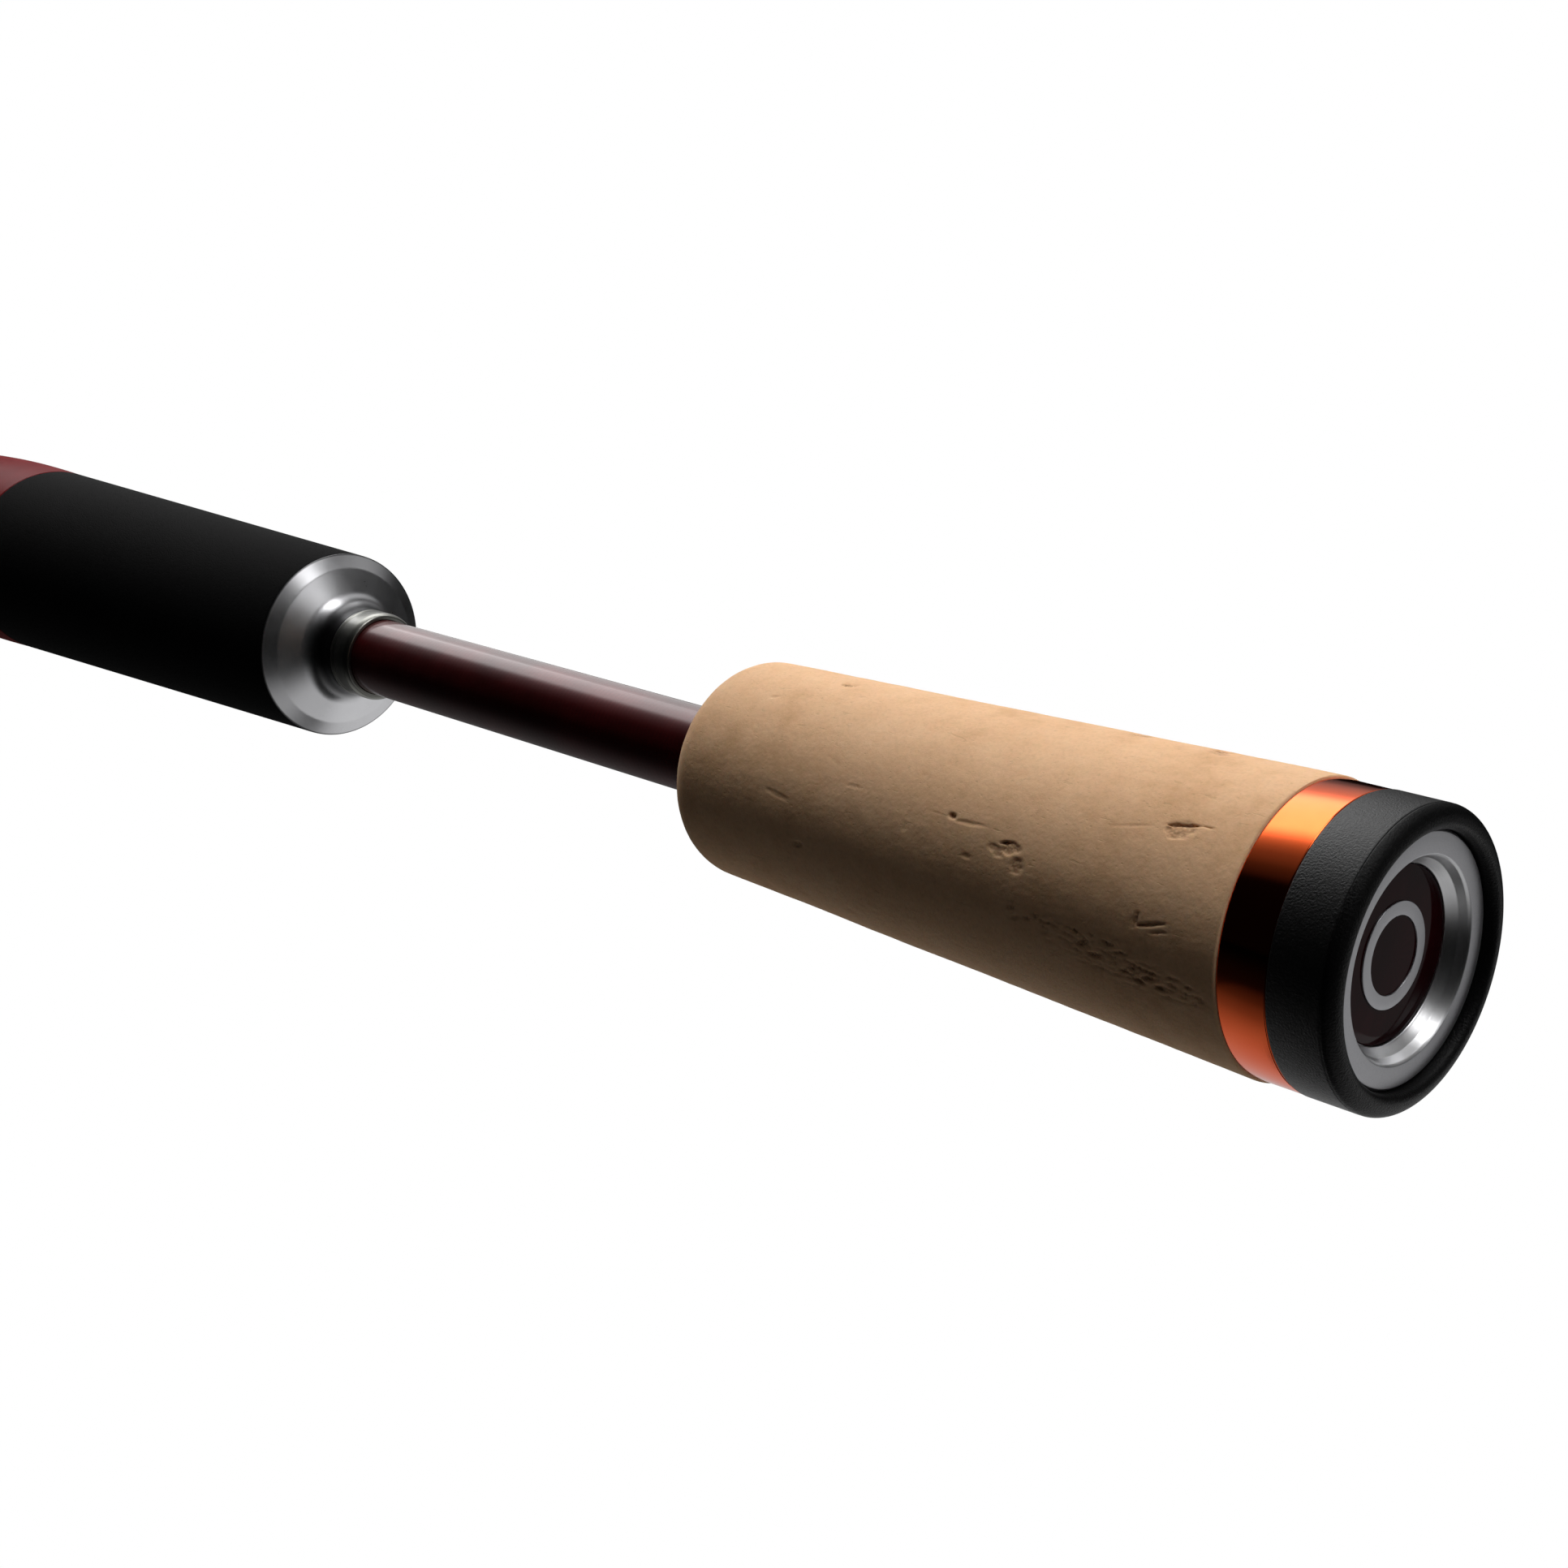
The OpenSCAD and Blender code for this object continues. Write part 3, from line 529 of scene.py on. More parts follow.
def turned(profile, finish, segments=160, steps=5, closed=True, **extra):
    """A row of corners (along, radius, and a round if it has one) turned about the rod's axis."""
    row = [(x, r, 0.0) for x, r in rounded(profile, steps)]
    if closed:
        row.append(row[0])
    plain = {"Flute_Radius": 1.0, "Pitch": 0.01}  # wider than any piece, so no flutes; no thread height
    sizes = {"Segments": segments, "Finish": FINISH[finish], **plain, **extra}
    return outward(grown(TURNED, row, **sizes))


def wire(points, radius, finish, sides=16):
    return outward(grown(WIRE, points, Radius=radius * MM, Sides=sides, Finish=FINISH[finish]), 60.0)


def lofted(name, rings, capped=True):
    """A skin over rings of points in mm. Its ends are capped, or joined to each other."""
    n, k = len(rings[0]), len(rings)
    faces = [(i * n + j, i * n + (j + 1) % n, (i + 1) % k * n + (j + 1) % n, (i + 1) % k * n + j)
             for i in range(k - 1 if capped else k) for j in range(n)]
    if capped:
        faces += [tuple(range(n)), tuple((k - 1) * n + j for j in reversed(range(n)))]
    mesh = bpy.data.meshes.new(name)
    mesh.from_pydata([tuple(c * MM for c in p) for ring in rings for p in ring], [], faces)
    return mesh


def prism(outline, half):
    """A block with that outline in the (x, z) plane, half wide to each side."""
    return outward(lofted("prism", [[(x, y, z) for x, z in outline] for y in (-half, half)]))


def cut_or_join(mesh, other, operation):
    """The mesh less the other one, or with it."""
    first, second = placed("first", mesh), placed("second", other)
    change = first.modifiers.new("change", "BOOLEAN")
    change.operation, change.object, change.solver = operation, second, "EXACT"
    made = baked(first)
    bpy.data.objects.remove(second)
    return made


def joined(*meshes):
    """Several meshes as one, in the first one's finish."""
    work = bmesh.new()
    for mesh in meshes:
        work.from_mesh(mesh)
    whole = bpy.data.meshes.new("whole")
    work.to_mesh(whole)
    work.free()
    return dressed(whole, meshes[0].materials[0])


def shifted(mesh, x, z):
    mesh.transform(Matrix.Translation((x * MM, 0.0, z * MM)))
    return mesh


def fitted(name, mesh, node, body="rod"):
    """Puts a finished mesh on its body, in the place of that node."""
    piece = placed(name, mesh)
    mesh.name = name
    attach(piece, body)
    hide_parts(node)


def turned_piece(name, node, finish, profile, segments=160, slot=None, body="rod", **extra):
    fitted(name, turned(profile, finish, segments, **extra), node, body)


def painted(node, finish):
    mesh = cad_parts[node].data
    mesh.materials.clear()
    mesh.materials.append(FINISH[finish])


def softened(node, finish, width):
    """A node of the frame with its edges rounded and its own finish."""
    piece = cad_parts[node]
    weld = piece.modifiers.new("weld", "WELD")
    weld.merge_threshold = 0.002 * MM
    bevel = piece.modifiers.new("edges", "BEVEL")
    bevel.width, bevel.segments = width * MM, 3
    bevel.limit_method, bevel.angle_limit = "ANGLE", math.radians(32)
    painted(node, finish)


def shares(n):
    """Even steps from 0 to 1."""
    return [i / n for i in range(n + 1)]


def between(a, b, n):
    return [a + (b - a) * t for t in shares(n)]


def eased(t):
    return t * t * (3 - 2 * t)


def rounded(points, steps):
    """The row with each corner that has a round drawn as a curve of that many steps."""
    row, side_share = [], 0.48
    for i, (x, r, *cut) in enumerate(points):
        if not cut:
            row.append((x, r))
            continue
        here = Vector((x, r))
        before, after = (Vector(points[k % len(points)][:2]) - here for k in (i - 1, i + 1))
        most = min(cut[0], side_share * before.length, side_share * after.length)
        a, b = here + before.normalized() * most, here + after.normalized() * most
        for t in shares(steps):
            p = (1 - t) ** 2 * a + 2 * t * (1 - t) * here + t * t * b
            row.append((p.x, p.y))
    return row


def arc(cx, cy, radius, a0, a1, steps):
    """Points of an arc in a plane, angles in degrees."""
    angles = between(math.radians(a0), math.radians(a1), steps)
    return [(cx + radius * math.cos(a), cy + radius * math.sin(a)) for a in angles]


# Butt

fine = 192  # facets round the pieces that are seen closest
bumper_round = 1.5
bumper_lip = ((0.62, glue), (0.42, 0.09), (0.2, 0.22), (0.05, 0.45))  # depth, and gap to the plug's rim
flange_x = rim_x + 0.45
plug_r = rim_r - 1.25
stem_x, stem_r = plug_tail - 10.0, sleeve_r - 1.2
chamfer = 0.22
badge_hole = 0.733 * badge_r
pad = 0.1  # how far the badge ring is let into the inlay
dome = 0.05

quarter = [math.radians(6 * i) for i in range(15)]
turned_piece(
    "bumper", "butt_bumper", "bumper_rubber",
    [(parting, rim_r + glue)] + [(x, rim_r + gap) for x, gap in bumper_lip]
    + [(parting * (1 - math.cos(a)), cap_r - bumper_round * (1 - math.sin(a))) for a in quarter]
    + [(parting - 0.05, cap_r - 0.03), (parting, cap_r - 0.14)], fine, slot="butt_rubber")
turned_piece("cap", "butt_cap", "butt_rubber", [
    (flange_x, plug_r + glue), (flange_x, rim_r + glue), (parting, rim_r + glue), (parting, cap_r, 0.16),
    (ring_x, cap_r, 0.22), (ring_x, spigot_r), (cap_end, spigot_r), (cap_end, plug_r + glue)], fine)
turned_piece("plug", "end_plug", "plug_metal", [
    (inlay_back, 0.0), (inlay_back, inlay_r + glue), (inlay_x - 0.04, inlay_r + glue, 0.04),
    (inlay_x - 0.16, inlay_r + 0.16, 0.06), (inlay_x - 0.74, mouth_r - 0.58, 0.06),
    (inlay_x - 0.86, mouth_r - 0.48, 0.08), (rim_x + chamfer, mouth_r - 0.18, 0.06),
    (rim_x, mouth_r, 0.06), (rim_x, rim_r - chamfer, 0.06), (rim_x + chamfer, rim_r, 0.08),
    (flange_x, rim_r), (flange_x, plug_r), (stem_x, plug_r), (stem_x, stem_r), (plug_tail, stem_r),
    (plug_tail, 0.0)], fine, steps=3, closed=False)
turned_piece(
    "inlay", "inlay_disc", "inlay_lacquer",
    [(inlay_x + dome * t ** 2, 0.97 * inlay_r * t) for t in shares(10)]
    + [(inlay_x + 0.08, 0.99 * inlay_r), (inlay_x + 0.16, inlay_r), (inlay_back, inlay_r), (inlay_back, 0.0)],
    closed=False)
turned_piece("badge_ring", "inlay_ring", "nickel", [
    (inlay_x + pad, badge_hole), (badge_x, badge_hole, 0.07), (badge_x, badge_r, 0.07),
    (inlay_x + pad, badge_r)])
turned_piece("copper_band", "copper_ring", "copper_anodised", [
    (ring_x, spigot_r + glue), (ring_x, ring_r, 0.14), (cork_x, ring_r, 0.14),
    (cork_x, spigot_r + glue)], fine)


# Cork grip: a fine grid with its pits and cracks cut in

dome_len, dome_drop = 5.1, 8.2
dome_most = 0.9781  # the dome ends at the bore, at this share of its length
dome_x = cork_end - dome_len
front_r = 11.2

# along, degrees from the top towards +Y, half length, half width, depth, slant in degrees, roughness
PITS = [
    (17.7, 45, 1.75, 0.9, 0.15, 10, 1), (17.6, 42.9, 2, 0.17, 0.26, 11, 0.5),
    (15.5, 41.4, 0.9, 0.1, 0.1, 0, 0.2), (22.2, 48, 2.4, 0.12, 0.025, 14, 0.5),
    (33.5, 69.5, 1.3, 0.62, 0.16, 12, 1), (32.3, 75.5, 0.9, 0.75, 0.13, 60, 1),
    (34.9, 71.8, 1.2, 0.5, 0.1, -20, 0.8), (33.9, 67.6, 0.8, 0.2, 0.22, 15, 0.5),
    (40.7, 63.3, 0.42, 0.34, 0.2, 0, 0.3), (38.6, 64.2, 1.9, 0.2, 0.05, 4, 0.6),
    (17.4, 81.2, 1.6, 0.2, 0.18, 17, 1), (19, 80.9, 0.9, 0.18, 0.16, 84, 0.6),
    (16.6, 83.2, 0.9, 0.14, 0.1, 16, 0.4), (57, 53.8, 1.6, 0.2, 0.03, -18, 0.6),
    (62.7, 76.4, 1.9, 0.3, 0.04, -8, 0.7), (53.5, 62.7, 1.4, 0.2, 0.03, 2, 0.6),
    (45.8, 51.2, 0.75, 0.11, 0.07, 84, 0.2), (45.8, 70.3, 1.3, 0.12, 0.06, 80, 0.2),
    (69.2, 28.2, 0.6, 0.3, 0.07, 20, 0.5), (59.6, 96.9, 0.8, 0.4, 0.12, 10, 0.6),
    (38.1, 77.6, 0.7, 0.28, 0.07, 0, 0.4), (32, 95.9, 0.6, 0.35, 0.09, 15, 0.5),
]
# the same without roughness, for scuffed patches
SCUFFS = [(22.5, 98.5, 7.5, 2.1, 0.15, -5), (15.5, 103, 4.2, 1.3, 0.12, -4),
          (30.5, 93.5, 4, 0.9, 0.08, -4)]
jag_reach = 0.6  # how far the jagged edge of a pit may go past its oval
dark_deep = 0.3  # from this depth on a pit is fully dark


def cork_radius(x):
    if x < dome_x:
        return cork_r + (front_r - cork_r) * (x - cork_x) / (dome_x - cork_x)
    s = min(dome_most, (x - dome_x) / dome_len)
    return front_r - dome_drop * (1 - math.sqrt(1 - s * s))


def more_pits(count, seed):
    """Small pits all round."""
    dice = random.Random(seed)
    found = []
    for _ in range(count):
        long = dice.uniform(0.3, 1.3)
        found.append((dice.uniform(cork_x + 2, dome_x), dice.uniform(0, 360), long,
                      dice.uniform(0.12, 0.34) * long ** 0.3, dice.uniform(0.04, 0.09),
                      dice.choice((0, 8, -12, 84, 20)), dice.random()))
    return found


def far_pits(count, seed):
    """Bigger pits for the sides that the rest leaves plain."""
    dice = random.Random(seed)
    return [(dice.uniform(cork_x + 4, dome_x - 4), dice.uniform(125, 375), dice.uniform(0.8, 2.0),
             dice.uniform(0.25, 0.8), dice.uniform(0.15, 0.38), dice.uniform(-30, 30), 0.9)
            for _ in range(count)]


def way_round(deg, r):
    """A turn as a way along the skin, the short way round."""
    return math.radians((deg + 180) % 360 - 180) * r


def oval(du, dv, long, wide, slant):
    """A place in a slanted oval, in shares of its half length and half width."""
    t = math.radians(slant)
    return (du * math.cos(t) + dv * math.sin(t)) / long, (dv * math.cos(t) - du * math.sin(t)) / wide


def pit_cut(at, du, dv, long, wide, deep, slant, rough):
    """How deep and how torn a pit is at a spot. Nothing outside its jagged edge."""
    if abs(dv) > long + wide + jag_reach:
        return 0.0, 0.0
    u, v = oval(du, dv, long, wide, slant)
    jag = 0.35 * noise.noise(at * 1.9) + 0.3 * rough * noise.noise(at * 4.3)
    m = eased(min(1.0, max(0.0, 1 - (u * u + v * v) + jag) * 1.6))
    chew = 1.0 - rough * 0.55 * (0.5 + 0.5 * noise.noise(at * 3.1 + Vector((9, 3, 1))))
    return deep * m * chew, m * min(1.0, deep / dark_deep) * (0.55 + 0.45 * chew)


def scuff_cut(at, du, dv, long, wide, deep, slant):
    """The same for a scuffed patch, which is grooved along its length."""
    if max(abs(du), abs(dv)) > long + 2:
        return 0.0, 0.0
    u, v = oval(du, dv, long, wide, slant)
    m = min(1.0, max(0.0, 1 - (u * u + v * v) + 0.6 * noise.noise(at * 0.6)) * 1.4)
    groove = noise.noise(Vector((u * long * 0.7, v * wide * 2.4, 4.0))) + 0.6 * noise.noise(at * 2.6)
    cut = max(0.0, 0.25 + groove)
    return deep * m * cut, 0.75 * m * min(1.0, cut * 1.3)


def cork_wear(x, r, deg, pits):
    """How deep the skin is sunk at a spot, and how torn it is."""
    a = math.radians(deg)
    at = Vector((x, r * math.sin(a), r * math.cos(a)))
    sink = 0.05 * noise.noise(at * 0.11) + 0.02 * noise.noise(at * 0.45) + 0.012 * noise.noise(at * 1.7)
    mark = 0.0
    for along, around, *size in pits:
        deep, torn = pit_cut(at, x - along, way_round(deg - around, r), *size)
        sink, mark = max(sink, deep) if torn else sink, max(mark, torn)
    for along, around, *size in SCUFFS:
        deep, torn = scuff_cut(at, x - along, way_round(deg - around, r), *size)
        sink, mark = sink + deep, max(mark, torn)
    return sink, mark


def cork_mesh():
    fine_step, fine_end, full = 0.55, 124.0, 365.0  # degrees; the grid is finer on the side of the deep pits
    columns = [fine_step * i for i in range(10, 226)]
    columns += between(fine_end, full, 118)[:-1]
    edge = cork_x + 0.2
    skin = between(edge, dome_x, 262)
    skin += [dome_x + dome_len * math.sin(math.radians(3 * i)) for i in range(1, 27)]
    rows = [(cork_x, spigot_r + glue, False), (cork_x, cork_r - 0.6, False), (cork_x, cork_r - 0.2, False),
            (cork_x + 0.06, cork_r - 0.06, False)]
    rows += [(x, cork_radius(x), True) for x in skin]
    rows += [(cork_end, sleeve_r, False), (cap_end + glue, sleeve_r, False),
             (cap_end + glue, spigot_r + glue, False)]
    pits = PITS + more_pits(count=9, seed=12) + far_pits(count=16, seed=41)
    rings, marks = [], []
    for x, r, worn in rows:
        near = [p for p in pits if abs(p[0] - x) < p[2] + p[3] + jag_reach]
        ring = []
        for deg in columns:
            sink, mark = cork_wear(x, r, deg, near) if worn else (0.0, 0.0)
            a = math.radians(deg)
            ring.append((x, (r - sink) * math.sin(a), (r - sink) * math.cos(a)))
            marks.append(mark)
        rings.append(ring)
    mesh = lofted("cork", rings, capped=False)
    mesh.attributes.new("pit", "FLOAT", "POINT").data.foreach_set("value", marks)
    return outward(dressed(mesh, FINISH["cork"]), 50.0)


fitted("cork", cork_mesh(), "cork_grip")


# Blank, collar and flare

def blank_at(x):
    share = max(0.0, (x - taper_x) / (tip_stop - taper_x))
    return blank_r + (tip_r - blank_r) * share


bore_end, bore_tip = 0.9 * tip_stop, 0.6
wall = between(blank_x, taper_x, 24) + between(taper_x, tip_stop, 48)[1:]
turned_piece(
    "rod_blank", "blank", "blank_lacquer",
    [(blank_x, blank_r - blank_wall)] + [(x, blank_at(x)) for x in wall]
    + [(tip_stop, 0.0), (bore_end, 0.0), (bore_end, bore_tip), (taper_x, blank_r - blank_wall)], 96)

groove_x, groove_r = collar_end - 0.9, collar_r - 0.12
turned_piece("blank_collar", "collar", "collar_metal", [
    (collar_x, sleeve_r), (collar_x, collar_r - 0.3, 0.12), (collar_x + 0.5, collar_r, 0.3),
    (groove_x, collar_r, 0.06), (groove_x + 0.1, groove_r, 0.06), (groove_x + 0.3, groove_r, 0.06),
    (groove_x + 0.4, collar_r, 0.06), (collar_end, collar_r, 0.15), (collar_end, sleeve_r)], 128)

neck_r, flare_spigot_r = collar_r - 0.05, flare_r - 2.5
lip_x, lip_r = foam_x - 1.0, flare_r - 1.7
fillet, slope = 3.0, 68.0
lean = math.radians(slope)
cone_len = (lip_r - neck_r - fillet * (1 - math.cos(lean))) / math.tan(lean)
fillet_x = lip_x - cone_len - fillet * math.sin(lean)
lip = [(lip_x - 0.06, lip_r - 0.15), (lip_x, lip_r), (lip_x + 0.09, lip_r + 0.15),
       (foam_x - 0.14, flare_r - 0.18), (foam_x - 0.1, flare_r - 0.11), (foam_x - 0.05, flare_r - 0.03),
       (foam_x, flare_r - 0.01)]
turned_piece(
    "grip_flare", "flare", "flare_metal",
    [(neck_x, sleeve_r), (neck_x, neck_r - 0.15), (neck_x + 0.15, neck_r)]
    + arc(fillet_x, neck_r + fillet, fillet, -90, slope - 90, 24) + lip
    + [(foam_x, flare_spigot_r), (flare_end, flare_spigot_r), (flare_end, sleeve_r)], fine)


# Foam grips

tail_len, tail_hole = 7.5, tail_r + glue
pocket_x = foam_end - 8.0
turned_piece(
    "foam_handle", "foam_grip", "foam",
    [(flare_end + glue, sleeve_r), (flare_end + glue, flare_spigot_r + glue), (foam_x, flare_spigot_r + glue),
     (foam_x, flare_r, 0.2)]
    + [(foam_x + t * (foam_end - foam_x), flare_r + t * (foam_r - flare_r)) for t in (0.25, 0.6)]
    + [(foam_end, foam_r, 0.25), (foam_end, tail_hole), (pocket_x, tail_hole), (pocket_x, sleeve_r)])

fore_tip = blank_r + 2.6
crown_x, crown_end = fore_x + 6.0, fore_end - 1.2
crown_r, crown_drop = fore_r - 0.2, fore_tip + 0.6 - fore_r + 0.2
crown = [(crown_x + (crown_end - crown_x) * t, crown_r + crown_drop * (0.55 * t + 0.45 * eased(t)))
         for t in shares(20)]
turned_piece(
    "fore_handle", "fore_grip", "foam",
    [(seat_end + glue, sleeve_r), (seat_end + glue, tail_hole), (fore_x, tail_hole),
     (fore_x, fore_r - 0.05, 0.7), (fore_x + 3, fore_r - 0.02)]
    + crown + [(fore_end, fore_tip, 0.3), (fore_end, sleeve_r)], 144)
turned_piece("winding_check", "front_check", "check_metal", [
    (check_x, sleeve_r), (check_x, check_r, 0.12), (check_x + 1.0, check_r, 0.25),
    (check_x + 1.3, check_r - 0.5, 0.15), (check_end - 0.9, blank_r + 0.95, 0.3),
    (check_end, blank_r + 0.6, 0.25), (check_end, sleeve_r)], 128)


# Reel seat

seat_x = foam_end
barrel_r, thread_deep = 10.2, 0.75
root_r = barrel_r - thread_deep
saddle_z, saddle_drop = 8.0, 0.2
bore_r = saddle_z - 1.6
swell_x, swell_end = hood_end + 1.0, slide_x - 21.0
thread_x = swell_end + 0.8
keyway, keyway_deep = 1.6, 1.2  # half width and depth of the slot along the thread


def seat_profile():
    tail_x = seat_x - tail_len
    body = [(tail_x, bore_r), (tail_x, tail_r), (seat_x, tail_r), (seat_x, foam_r - 0.25, 0.15)]
    for t in shares(18):
        swell = math.sin(math.pi * min(1.0, 1.1 * t)) - max(0.0, t - 0.8) / 0.2
        body.append((seat_x + 0.2 + (hood_x - 3.6 - seat_x) * t, foam_r + 0.3 * swell))
    body += [(hood_x - 1.2, foam_r - 0.75, 0.5), (hood_x, foam_r - 1.1, 0.3), (hood_x, barrel_r, 0.1),
             (swell_x, barrel_r)]
    body += [(swell_x + (swell_end - swell_x) * t, barrel_r + 0.8 * math.sin(math.pi * t))
             for t in shares(20)[1:-1]]
    body += [(swell_end, barrel_r), (thread_x, root_r)]
    body += [(swell_end + 1.6 + (nut_end - swell_end - 1.2) * t, root_r) for t in shares(264)]
    return body + [(fore_x, root_r), (fore_x, tail_r), (seat_end, tail_r), (seat_end, bore_r)]


def trigger_mesh():
    """Finger hook: an oval section along an arc, flared where it leaves the barrel and round at its end."""
    cx, cz, reach = hood_end + 29.0, -barrel_r - 1.8, 19.0
    first, last, sides, least = 152.0, 247.0, 32, 0.06
    rings = []
    for t in shares(40):
        root = max(0.0, 1 - t / 0.36) ** 1.8
        end = max(0.0, (t - 0.9) / 0.1)
        shrink = max(least, math.sqrt(max(0.0, 1 - end * end)))
        thick = (2.5 + 2.6 * root - 0.35 * t) * shrink
        wide = (4.0 + 1.5 * root - 0.75 * t) * shrink
        a = math.radians(first + (last - first) * t + 2.5 * end)
        ring = []
        for j in range(sides):
            b = TURN * j / sides
            u, v = (math.copysign(abs(c) ** 0.8, c) for c in (math.cos(b), math.sin(b)))
            r = reach + u * thick
            ring.append((cx + r * math.cos(a), v * wide, cz + r * math.sin(a)))
        rings.append(ring)
    return outward(lofted("trigger", rings))


def seat_mesh():
    low, top, far = saddle_z - saddle_drop, 30.0, 20.0
    slot_end = slide_x + 11.3
    core_r = barrel_r - 1.2
    barrel = turned(seat_profile(), "seat_lacquer", 128, steps=4, Pitch=thread_pitch * MM,
                    Thread_Height=thread_deep * MM, Thread_Start=(swell_end + 1.8) * MM,
                    Thread_End=(nut_end - 0.4) * MM)
    core = turned([(seat_x, 0.0), (seat_x, core_r), (fore_x, core_r), (fore_x, 0.0)],
                  "seat_lacquer", 48, closed=False)
    saddle = prism([
        (hood_x, low), (swell_x, low), (swell_x, saddle_z), (swell_end, saddle_z), (swell_end, low),
        (slot_end, low), (slot_end, top), (hood_x, top)], far)
    key_end, key_z, under = fore_x - 1.0, -barrel_r + keyway_deep, -14.0
    slot = prism([(thread_x, under), (key_end, under), (key_end, key_z), (thread_x, key_z)], keyway)
    whole = cut_or_join(barrel, cut_or_join(trigger_mesh(), core, "DIFFERENCE"), "UNION")
    for tool in (saddle, slot):
        whole = cut_or_join(whole, tool, "DIFFERENCE")
    return outward(dressed(whole, FINISH["seat_lacquer"]), 30.0)


fitted("reel_seat", seat_mesh(), "seat_body")

nut_bore = barrel_r + 0.08
belt_x, belt_r = nut_x + 7.4, nut_r - 0.35
turned_piece("knurled_nut", "lock_nut", "nut_metal", [
    (nut_x, nut_bore), (nut_x, nut_r - 0.45, 0.2), (nut_x + 0.7, nut_r, 0.3), (belt_x, nut_r, 0.15),
    (belt_x + 0.3, belt_r, 0.1), (belt_x + 1.1, belt_r, 0.1), (belt_x + 1.4, nut_r - 0.05, 0.15),
    (nut_end - 0.7, nut_r - 0.1, 0.3), (nut_end, nut_r - 0.8, 0.2), (nut_end, nut_bore)],
    336, body="lock_nut", steps=4, Flutes=28, Flute_Depth=0.5 * MM, Flute_Radius=(belt_r + 0.01) * MM)

softened("fixed_hood", "hood_metal", 0.3)
softened("sliding_hood", "hood_metal", 0.3)
painted("rear_arbor", "arbor_foam")
painted("front_arbor", "arbor_foam")


# Thread wraps

thread_d = 0.28
foot_t = 0.6
foot_lift = 0.5 * foot_t + glue  # how far a foot under the thread raises it


def wound(name, node, lift=0.0):
    low, high = box(node)
    x0, x1 = low[0], high[0]
    r0 = 0.5 * (high[1] - low[1]) - 0.5 * thread_d
    r1 = r0 + blank_at(x1) - blank_at(x0)
    start, end, long = x0 + 0.5 * thread_d, x1 - 0.5 * thread_d, x1 - x0 - thread_d
    under, swell = 0.3, 0.56  # sleeve below the thread; strands a little fat, so that they touch
    thread = grown(WOUND, [(0, 0, 0), (1, 0, 0)], Start=start * MM, Length=long * MM,
                   Start_Radius=r0 * MM, End_Radius=r1 * MM, Lift=lift * MM,
                   Turns=float(round(long / thread_d)), Thread_Radius=swell * thread_d * MM,
                   Finish=FINISH["wrap_thread"])
    sleeve = turned([(start, r0 - under), (start, r0), (end, r1), (end, r1 - under)], "wrap_thread", 48)
    fitted(name, joined(thread, shifted(sleeve, 0.0, lift)), node)


wound("front_winding", "front_wrap")
wound("tip_winding", "tip_wrap")
for side in ("rear", "front"):
    wound("keeper_winding_" + side, "keeper_wrap_" + side, -foot_lift)
for n in (1, 2):
    for side in ("rear", "front"):
        wound("guide_%d_winding_%s" % (n, side), "guide_%d_wrap_%s" % (n, side), foot_lift)
for n in (3, 4, 5, 6):
    wound("guide_%d_winding" % n, "guide_%d_wrap" % n, foot_lift)


# Line guides

ring_t = 0.9
ring_wall = 0.7
hoop_t, hoop_half = 0.7, 0.6
hoop_gap = 0.02
leg_r, tip_leg_r = 0.5, 0.45
leg_in = 0.35  # how deep a leg is sunk into a hoop or a foot
foot_gap = 1.2  # from the end of a winding to the bend of its foot
foot_in = 0.7  # from that bend to the foot's head


def ring_facts(node):
    """Centre along and up, and bore radius, of a ceramic ring."""
    low, high = box(node)
    return 0.5 * (low[0] + high[0]), 0.5 * (low[2] + high[2]), 0.5 * (high[1] - low[1]) - ring_t


def ceramic(name, node):
    x, z, bore = ring_facts(node)
    mid, half, lip = bore + 0.5 * ring_t, 0.5 * ring_wall, 0.5 * ring_t
    section = arc(half, mid, lip, 90, -90, 12) + arc(-half, mid, lip, -90, -270, 12)
    fitted(name, shifted(turned(section, "ring_ceramic", 72), x, z), node)


def hoop(x, z, bore):
    """The metal band that holds a ceramic ring."""
    inner, outer = bore + ring_t + hoop_gap, bore + ring_t + hoop_t
    section = [(-hoop_half, inner), (-hoop_half, outer, 0.25), (hoop_half, outer, 0.25), (hoop_half, inner)]
    return shifted(turned(section, "guide_metal", 72), x, z)


def leg(points, radius=leg_r):
    """A wire along a smooth curve, pulled by the points between its ends."""
    n = len(points) - 1
    path = []
    for t in shares(18):
        pulls = [math.comb(n, k) * t ** k * (1 - t) ** (n - k) for k in range(n + 1)]
        path.append(tuple(sum(pull * p[c] for pull, p in zip(pulls, points)) for c in range(3)))
    return wire(path, radius, "guide_metal")


def foot_half(x):
    return min(0.95, 0.55 * blank_at(x))


def tongue(x0, x1):
    """A guide foot from its head x0 to its ground-down end x1."""
    section = ((-1, 0), (1, 0), (1, 0.55), (0.72, 0.92), (0, 1), (-0.72, 0.92), (-1, 0.55))
    wide, seat = foot_half(max(x0, x1)), blank_at(min(x0, x1)) + glue
    rings = []
    for t in shares(14):
        x = x0 + (x1 - x0) * t
        half, thick = wide * (1 - 0.45 * t ** 2), foot_t * (1 - 0.7 * t ** 1.5)
        rings.append([(x, y * half, seat + up * thick) for y, up in section])
    return outward(lofted("tongue", rings), 50.0)


